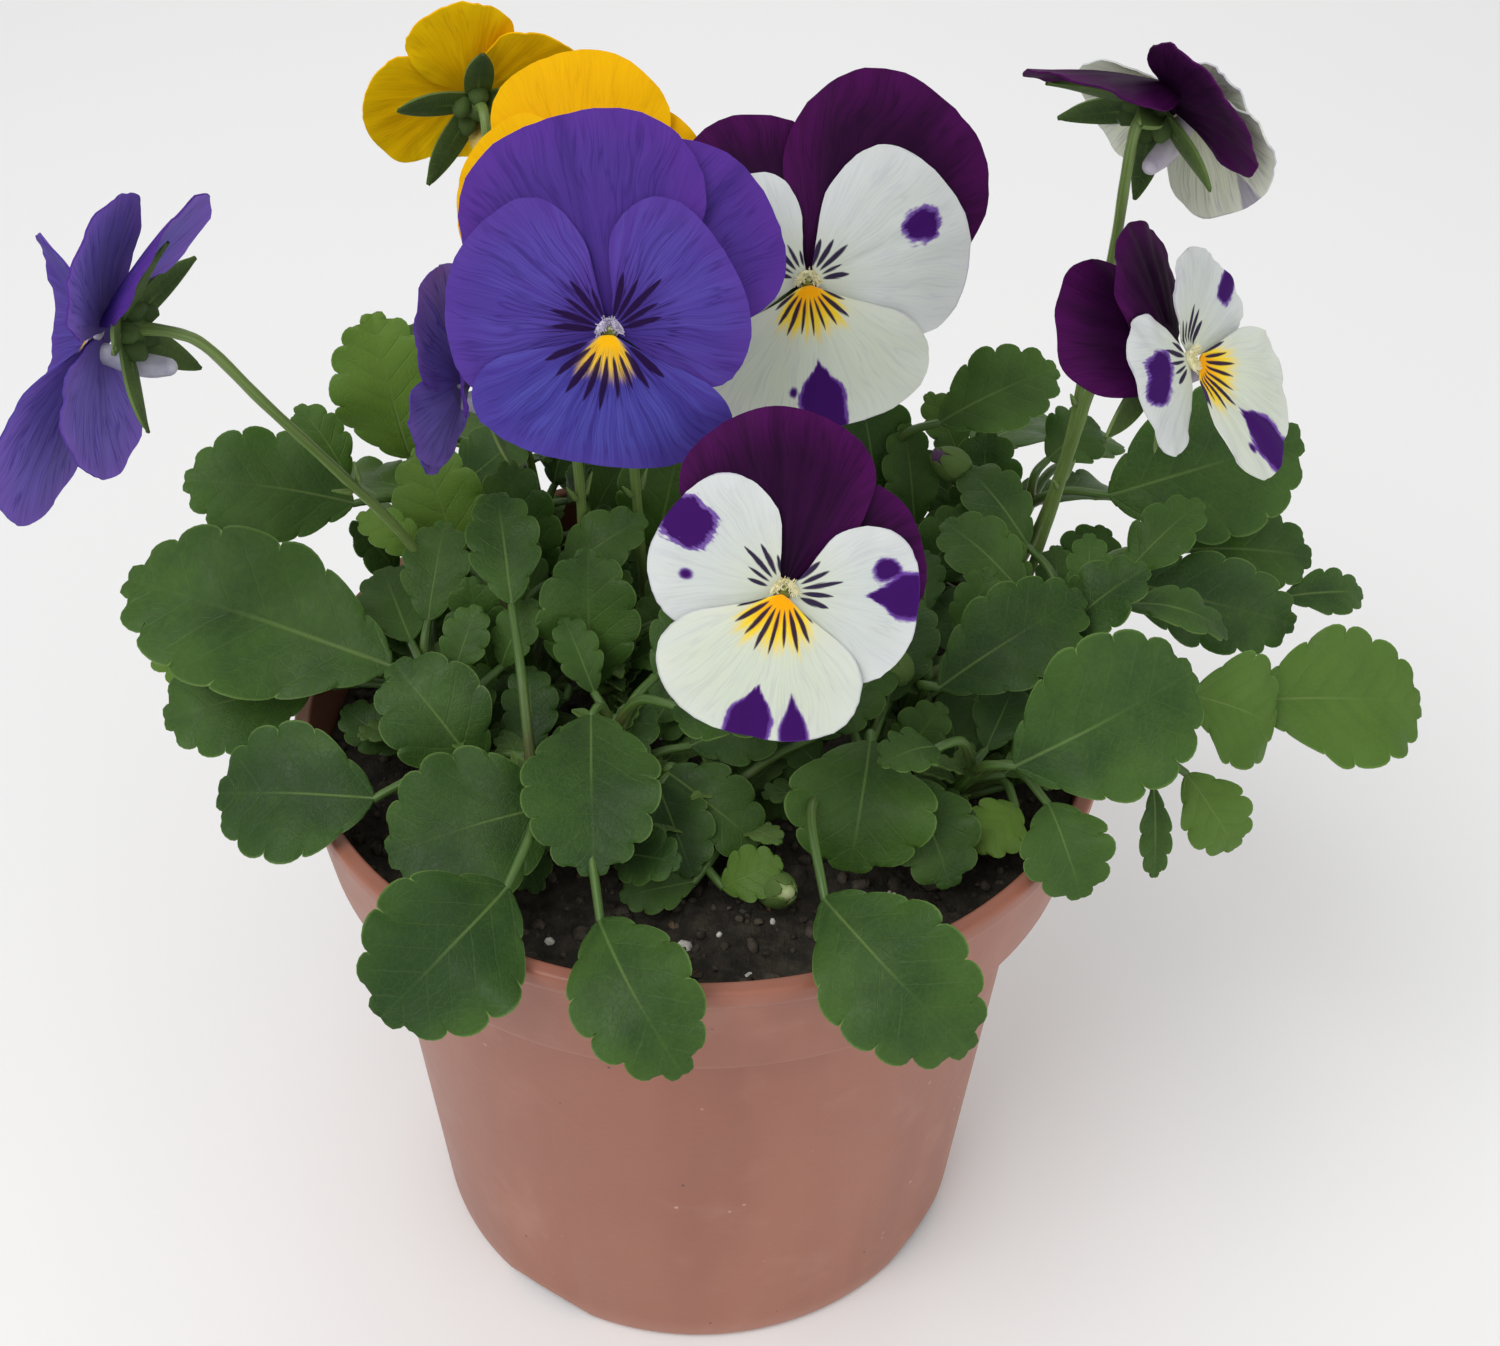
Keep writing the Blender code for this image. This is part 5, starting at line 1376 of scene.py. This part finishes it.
def add_petal(pile, petal, frame, top, under, side, draw, patches):
    """A thin petal, waved at its edge and creased from the throat outwards."""
    turn = -2.0 * math.pi * np.arange(PETAL_SIDES)[None, :] / PETAL_SIDES
    inset = np.linspace(0.03, 1.0, PETAL_RINGS)[:, None] ** 0.85
    phase = draw.uniform(0.0, 6.3)
    bites = sum(draw.uniform(0.3, 1.0) * np.cos(number * turn + draw.uniform(0.0, 6.3))
                for number in range(9, 34, 4))
    uneven = 1.0 + inset ** 6 * (0.018 * np.sin(5 * turn + phase) + 0.0028 * bites)
    x, y = petal_outline(petal, turn, inset * uneven)
    away = np.hypot(x, y)
    right, up, depth = petal_surface(petal, x, y)
    depth += (0.20 * np.sin(9.0 * turn + phase) + 0.045 * bites) * inset ** 4 * smooth(away / 10.0)
    depth += 0.07 * np.sin(26.0 * np.arctan2(y, x) + phase) * smooth(away / 6.0) * (1.0 - 0.6 * inset ** 4)
    depth -= 0.22 * np.exp(-(y / 1.1) ** 2) * smooth(away / 8.0) * (1.0 - inset ** 6)
    add_shell(pile, spread(frame, right, up, depth), 0.20 - 0.08 * inset ** 3,
              (0.5 + x / UV_SPAN, 0.5 + y / UV_SPAN), (inset, draw.random(), side), top, under, True, patches)


def add_beard(pile, frame, side, draw):
    """The pad of short hairs that roofs the throat on one side."""
    origin, right, up, forward = frame
    middle = origin + right * (0.85 * side) + up * 0.55 - forward * 0.35
    long_way = right * (0.66 * side) - up * 0.75
    short_way = right * (0.75 * side) + up * 0.66
    add_ball(pile, middle, (long_way * 1.25, short_way * 0.5, forward * 0.42), BEARD, 0.5, 6, 12)
    for _hair in range(BEARD_HAIRS):
        spin = draw.uniform(0.0, 2.0 * math.pi)
        out = math.sqrt(draw.random())
        along = math.cos(spin) * out
        aside = math.sin(spin) * out
        tall = math.sqrt(max(0.0, 1.0 - out * out))
        root = middle + long_way * (1.2 * along) + short_way * (0.5 * aside) + forward * (0.45 * tall)
        way = long_way * (along * 0.7 + draw.gauss(0, 0.2)) + short_way * (aside + draw.gauss(0, 0.2))
        way += forward * (0.4 + tall)
        way /= np.linalg.norm(way)
        hair = [root, root + way * draw.uniform(0.35, 0.6)]
        add_tube(pile, hair, (0.075, 0.05), BEARD, (0.0, 0.5, 0.0), 3)


def make_petals(name, bloom, materials):
    """A flower's petals, throat and spur, and its purple upper petals as a piece of their own."""
    colour = name.split("_")[0].capitalize()
    frame = [np.array(axis) for axis in bloom_frame(bloom)]
    draw = random.Random(name)
    looks = [f"{colour}_{part}" for part in ("upper", "lateral", "lower", "back", "beard", "spur")]
    pile = Pile(name + "_corolla", [materials[key] for key in (*looks, "Throat_hollow", "Stigma")], "petal")
    banner = Pile(name + "_banner", [materials["Purple_upper"], materials["Purple_back"]], "petal")
    two = name in TWO_COLOURED
    for index, (petal, slot, side) in enumerate(zip(bloom.petals, PETAL_SLOTS, PETAL_SIDE_MARKS)):
        patches = {key: (away, math.radians(turn), size)
                   for key, (away, turn, size) in PATCHES.get(name, {}).get(index, {}).items()}
        if two and index < 2:
            add_petal(banner, petal, frame, 0, 1, side, draw, patches)
        else:
            add_petal(pile, petal, frame, slot, PETAL_BACK, side, draw, patches)
    for side in (-1.0, 1.0):
        add_beard(pile, frame, side, draw)
    add_knob(pile, frame, 0.15, -1.0, (1.3, 1.15, 0.5), BEARD, 0.2)
    # A knob that closes the throat's hole; its dark colour is partly painted shade of the hole.
    add_knob(pile, frame, -0.25, -0.62, (0.85, 0.8, 0.4), THROAT, 0.5)
    add_knob(pile, frame, 0.3, -0.35, (0.34, 0.3, 0.4), STIGMA, 0.5)
    spur = curve_through([frame[0] + frame[2] * height + frame[3] * depth for height, depth in SPUR_LINE], 12)
    share = np.arange(13) / 12
    girths = 1.3 + 0.3 * np.sin(math.pi * share) - 0.15 * share ** 2
    add_tube(pile, spur, girths, SPUR, (0.0, 0.5, 0.0), 14)
    add_knob(pile, frame, *SPUR_LINE[-1], (1.15, 1.15, 1.15), SPUR, 0.5)
    made = [pile.build()]
    if two:
        add_knob(banner, frame, 0.4, -2.9, (1.9, 1.9, 1.0), 1, 0.2)
        made.append(banner.build())
    return made


def make_flower_stem(name, bloom, materials):
    """A flower's stem with two bracts, and the calyx with five sepals."""
    frame = [np.array(axis) for axis in bloom_frame(bloom)]
    origin, right, up, forward = frame
    pile = Pile(name + "_stalk", [materials["Flower_stem"], materials["Sepal"]])
    route = bloom_route(bloom)
    line = [route[0], *curve_through(route[1:], 44)]
    last = len(line) - 1
    step = np.arange(last + 1)
    girths = 0.63 + 0.02 * np.sin(1.7 * step) + 0.2 * np.maximum(0.0, step / last - 0.9) / 0.1
    add_tube(pile, line, FLOWER_STEM_RADIUS * girths, 0, (0.0, 0.4, 0.0), 12)
    add_knob(pile, frame, 1.0, -5.5, (2.1, 2.1, 1.8), 1, 0.2)
    knot, above = line[int(last * 0.42):][:2]
    ahead = (above - knot).normalized()
    for away in (-ahead.orthogonal().normalized(), ahead.orthogonal().normalized()):
        bract = [knot + away * (0.9 + 0.4 * step) + ahead * (0.75 * step) for step in range(5)]
        add_tube(pile, bract, (0.5, 0.45, 0.36, 0.25, 0.1), 0, (0.0, 0.3, 0.0), 6)
    share, side = strip(22, 7)
    away = 0.4 + share * (SEPAL_LENGTH - 0.4)
    wide = 1.9 * np.sin(math.pi * (0.26 + 0.74 * share ** 1.4)) ** 0.8 + 0.10
    for angle in SEPAL_ANGLES:
        x, y = circle(1.0, angle / 360.0)
        depth = SEPAL_START - sepal_slope(bloom, angle) * away + 0.25 * side ** 2
        depth = depth + 0.6 * np.sin(math.pi * share) * share
        grid = spread(frame, away * x - side * wide * y, 1.0 + away * y + side * wide * x, depth)
        add_shell(pile, grid, 0.22, (share * 0.8, 0.5 + side * 0.06), (np.abs(side), 0.3, 0.0), 1, 1)
        out = x * right + y * up
        ear = [origin + up + out * (1.9 + 0.45 * step) - forward * (4.8 + step) for step in range(4)]
        add_tube(pile, ear, (1.2, 1.5, 1.3, 0.6), 1, (0.4, 0.3, 0.0), 9)
    return pile.build()


# Pot and soil

def wall_radius(height):
    return BASE_RADIUS + (BODY_TOP_RADIUS - BASE_RADIUS) * height / SHOULDER_LOW


def rounded(points, sizes):
    """A profile whose corners are rounded by the sizes given."""
    result = [points[0]]
    for number in range(1, len(points) - 1):
        corner = Vector(points[number])
        size = sizes.get(number, 0.0)
        if not size:
            result.append(points[number])
            continue
        before = Vector(points[number - 1]) - corner
        after = Vector(points[number + 1]) - corner
        start = corner + before.normalized() * min(size, before.length * 0.49)
        end = corner + after.normalized() * min(size, after.length * 0.49)
        for step in range(6):
            t = step / 5
            result.append(tuple(start * (1 - t) ** 2 + corner * (2 * t * (1 - t)) + end * t ** 2))
    return [*result, points[-1]]


def turned_pot():
    """The pot's mesh without its drain notches: its profile turned round the axis."""
    inner_rim = RIM_RADIUS - LIP_WIDTH
    lip_low = POT_HEIGHT - LIP_HEIGHT
    profile = rounded([
        (0.0, FLOOR),
        (wall_radius(FLOOR) - WALL, FLOOR),
        (BODY_TOP_RADIUS - WALL, SHOULDER_LOW - 1.0),
        (COLLAR_LOW_RADIUS - WALL, COLLAR_LOW + 1.0),
        (inner_rim, lip_low),
        (inner_rim, POT_HEIGHT),
        (RIM_RADIUS, POT_HEIGHT),
        (RIM_RADIUS, lip_low),
        (RIM_RADIUS - 0.7, lip_low - 0.7),
        (COLLAR_LOW_RADIUS, COLLAR_LOW),
        (BODY_TOP_RADIUS, SHOULDER_LOW),
        (BASE_RADIUS, 0.0),
        (0.0, 0.0),
    ], POT_ROUNDS)
    sheet = bmesh.new()
    rings = []
    for radius, height in profile:
        sides = POT_SIDES if radius > 0.01 else 1
        corners = [(*circle(radius * MM, side / sides), height * MM) for side in range(sides)]
        rings.append([sheet.verts.new(corner) for corner in corners])
    for high, low in zip(rings, rings[1:]):
        for side in range(POT_SIDES):
            after = (side + 1) % POT_SIDES
            corners = (high[side % len(high)], low[side % len(low)], low[after % len(low)],
                       high[after % len(high)])
            sheet.faces.new(list(dict.fromkeys(corners)))
    bmesh.ops.recalc_face_normals(sheet, faces=sheet.faces[:])
    mesh = bpy.data.meshes.new("pot_body")
    sheet.to_mesh(mesh)
    sheet.free()
    return mesh


def make_pot(materials):
    """The pot with its drain notches cut into the foot."""
    pot = link_object("pot_body", turned_pot())
    cutters = []
    for index in range(DRAIN_NOTCHES):
        turn = math.radians(FIRST_NOTCH + 360.0 / DRAIN_NOTCHES * index)
        bpy.ops.mesh.primitive_cylinder_add(vertices=64, radius=1.0, depth=1.0)
        notch = bpy.context.object
        notch.scale = (NOTCH_HEIGHT * MM, 0.5 * NOTCH_WIDTH * MM, 2.0 * NOTCH_DEPTH * MM)
        notch.rotation_euler = (0.0, math.pi / 2, turn)
        radius = (BASE_RADIUS - 0.4) * MM
        notch.location = (radius * math.cos(turn), radius * math.sin(turn), 0.0)
        cut = pot.modifiers.new(f"Drain {index}", "BOOLEAN")
        cut.operation = "DIFFERENCE"
        cut.solver = "EXACT"
        cut.object = notch
        cutters.append(notch)
    graph = bpy.context.evaluated_depsgraph_get()
    graph.update()
    pot_mesh = bpy.data.meshes.new_from_object(pot.evaluated_get(graph))
    pot.modifiers.clear()
    pot.data = pot_mesh
    for notch in cutters:
        bpy.data.objects.remove(notch)
    pot_mesh.materials.clear()
    pot_mesh.materials.append(materials["Terracotta_plastic"])
    pot_mesh.shade_smooth()
    pot_mesh.set_sharp_from_angle(angle=math.radians(POT_SHARP))
    return pot


def soil_edge():
    """How far out the soil's surface reaches."""
    collar_inside = COLLAR_LOW_RADIUS - WALL - GAP
    rise = (SOIL_LEVEL - SHOULDER_LOW) / (POT_HEIGHT - SHOULDER_LOW)
    return collar_inside + (RIM_RADIUS - LIP_WIDTH - GAP - collar_inside) * rise * 0.8


def ground(x, y):
    """The crumbly surface of the peat over a point."""
    fine = noise.fractal(Vector((x * 0.22, y * 0.22, 7.0)), 0.9, 2.1, 4)
    return soil_top(x, y) + 0.75 * fine + 0.35 * noise.noise(Vector((x * 0.9, y * 0.9, 1.0)))


def make_soil(materials):
    """Peat: an uneven top, and plain sides that the pot hides."""
    edge = soil_edge()
    pile = Pile("peat", [materials["Peat"]])
    points = [(0.0, 0.0, ground(0.0, 0.0))]
    for ring in range(1, SOIL_RINGS + 1):
        radius = edge * (ring / SOIL_RINGS) ** 0.8
        drop = 0.5 if ring == SOIL_RINGS else 0.0
        for side in range(SOIL_SIDES):
            x, y = circle(radius, side / SOIL_SIDES)
            points.append((x, y, ground(x, y) - drop))
    hidden = ((BODY_TOP_RADIUS - WALL - GAP, SHOULDER_LOW - 0.3), (wall_radius(FLOOR) - 4.0, FLOOR + GAP))
    for radius, height in hidden:
        points.extend((*circle(radius, side / SOIL_SIDES), height) for side in range(SOIL_SIDES))
    faces = [(0, 1 + side, 1 + (side + 1) % SOIL_SIDES) for side in range(SOIL_SIDES)]
    for low in range(1, 1 + (SOIL_RINGS + 1) * SOIL_SIDES, SOIL_SIDES):
        high = low + SOIL_SIDES
        for side in range(SOIL_SIDES):
            after = (side + 1) % SOIL_SIDES
            faces.append((low + side, high + side, high + after, low + after))
    faces.append(tuple(reversed(range(len(points) - SOIL_SIDES, len(points)))))
    pile.add(points, faces, 0, UV_MIDDLE, (0.0, 0.0, 0.0))
    return pile.build()


def crumb_shape():
    """The corners and faces of a small twenty-sided lump."""
    lump = bmesh.new()
    bmesh.ops.create_icosphere(lump, subdivisions=1, radius=1.0)
    points = np.array([vert.co[:] for vert in lump.verts])
    faces = [tuple(vert.index for vert in face.verts) for face in lump.faces]
    lump.free()
    return points, faces


def make_crumbs(name, count, sizes, material, seed, flat):
    """Loose lumps that lie half sunk in the peat."""
    draw = random.Random(seed)
    shape, faces = crumb_shape()
    pile = Pile(name, [material])
    for _crumb in range(count):
        away = (soil_edge() - 1.5) * math.sqrt(draw.random())
        x, y = circle(away, draw.random())
        size = draw.uniform(*sizes) * (0.6 + 0.8 * draw.random() ** 3)
        stretch = np.array([draw.uniform(0.6, 1.3), draw.uniform(0.6, 1.3), draw.uniform(0.45, 0.9) * flat])
        jitter = 1.0 + np.array([draw.gauss(0.0, 0.13) for _point in shape])[:, None]
        angle = draw.uniform(0.0, 6.3)
        spin = np.array(Matrix.Rotation(angle, 3, Vector((draw.gauss(0, 1), draw.gauss(0, 1), 2.0))))
        points = (shape * jitter * stretch * size) @ spin.T + np.array([x, y, ground(x, y) + size * 0.15])
        pile.add(points, faces, 0, UV_MIDDLE, (0.0, draw.random(), 0.0))
    return pile.build()


# The whole

def own(piece, slot, *nodes):
    """Says what a piece rides on and which nodes it replaces; the slot is not used."""
    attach(piece, "root")
    if nodes:
        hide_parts(*nodes)


def make_plant(materials):
    for name, bloom in BLOOMS.items():
        own(make_flower_stem(name, bloom, materials), "flower_stem", name + "_stem")
        made = make_petals(name, bloom, materials)
        own(made[0], name.split("_")[0] + "_petal", name + "_petals")
        if len(made) == 2:
            own(made[1], "purple_petal", name + "_upper_petals")
    leaves = all_leaves()
    for name, shoot in SHOOTS.items():
        own(make_leafy_shoot(name, shoot, leaves[name], materials), "leaf", name)


def make_floor():
    """A pale round floor, just under the pot's foot."""
    sheet = bmesh.new()
    bmesh.ops.create_circle(sheet, cap_ends=True, segments=96, radius=2.2)
    mesh = bpy.data.meshes.new("floor")
    sheet.to_mesh(mesh)
    sheet.free()
    floor = link_object("floor", mesh)
    floor.location.z = -0.0002
    paint = Paint("Studio_floor", (0.90, 0.90, 0.90, 1.0))
    paint.over((0.92, 0.92, 0.92, 1.0), paint.noise(paint.place(), 3.0))
    mesh.materials.append(paint.finish(0.75))


def make_lights():
    """White surroundings and three soft lights that point at the pot's top."""
    bpy.context.scene.view_settings.view_transform = "Standard"
    world = bpy.data.worlds.new("studio")
    bpy.context.scene.world = world
    world.use_nodes = True
    background = world.node_tree.nodes["Background"].inputs
    background["Color"].default_value = (1.0, 1.0, 1.0, 1.0)
    background["Strength"].default_value = SURROUNDINGS
    for name, (spot, size, energy) in LIGHTS.items():
        light = bpy.data.lights.new(name, "AREA")
        light.size = size
        light.energy = energy
        lamp = link_object(name, light)
        lamp.location = spot
        lamp.rotation_euler = (LIT_POINT - Vector(spot)).to_track_quat("-Z", "Y").to_euler()


def make_camera():
    """The camera that sees the pot as the photograph does."""
    pan, dip, roll = (math.radians(angle) for angle in (CAMERA_PAN, CAMERA_DIP, CAMERA_ROLL))
    ahead = Vector((math.sin(pan) * math.cos(dip), math.cos(pan) * math.cos(dip), -math.sin(dip)))
    level = Vector((math.cos(pan), -math.sin(pan), 0.0))
    upright = level.cross(ahead)
    right = level * math.cos(roll) + upright * math.sin(roll)
    up = upright * math.cos(roll) - level * math.sin(roll)
    data = bpy.data.cameras.new("camera")
    data.lens = LENS
    data.sensor_width = 36.0
    data.clip_start = 0.01
    camera = link_object("camera", data)
    turned = Matrix((right, up, -ahead)).transposed().to_4x4()
    camera.matrix_world = Matrix.Translation(Vector(CAMERA_PLACE) * MM) @ turned
    bpy.context.scene.camera = camera


def main():
    materials = make_materials()
    own(make_pot(materials), "terracotta_plastic", "pot")
    own(make_soil(materials), "peat", "soil")
    for name, (count, sizes, material, seed, flat) in CRUMBS.items():
        own(make_crumbs(name, count, sizes, materials[material], seed, flat), "peat")
    make_plant(materials)
    make_floor()
    make_lights()
    make_camera()


main()
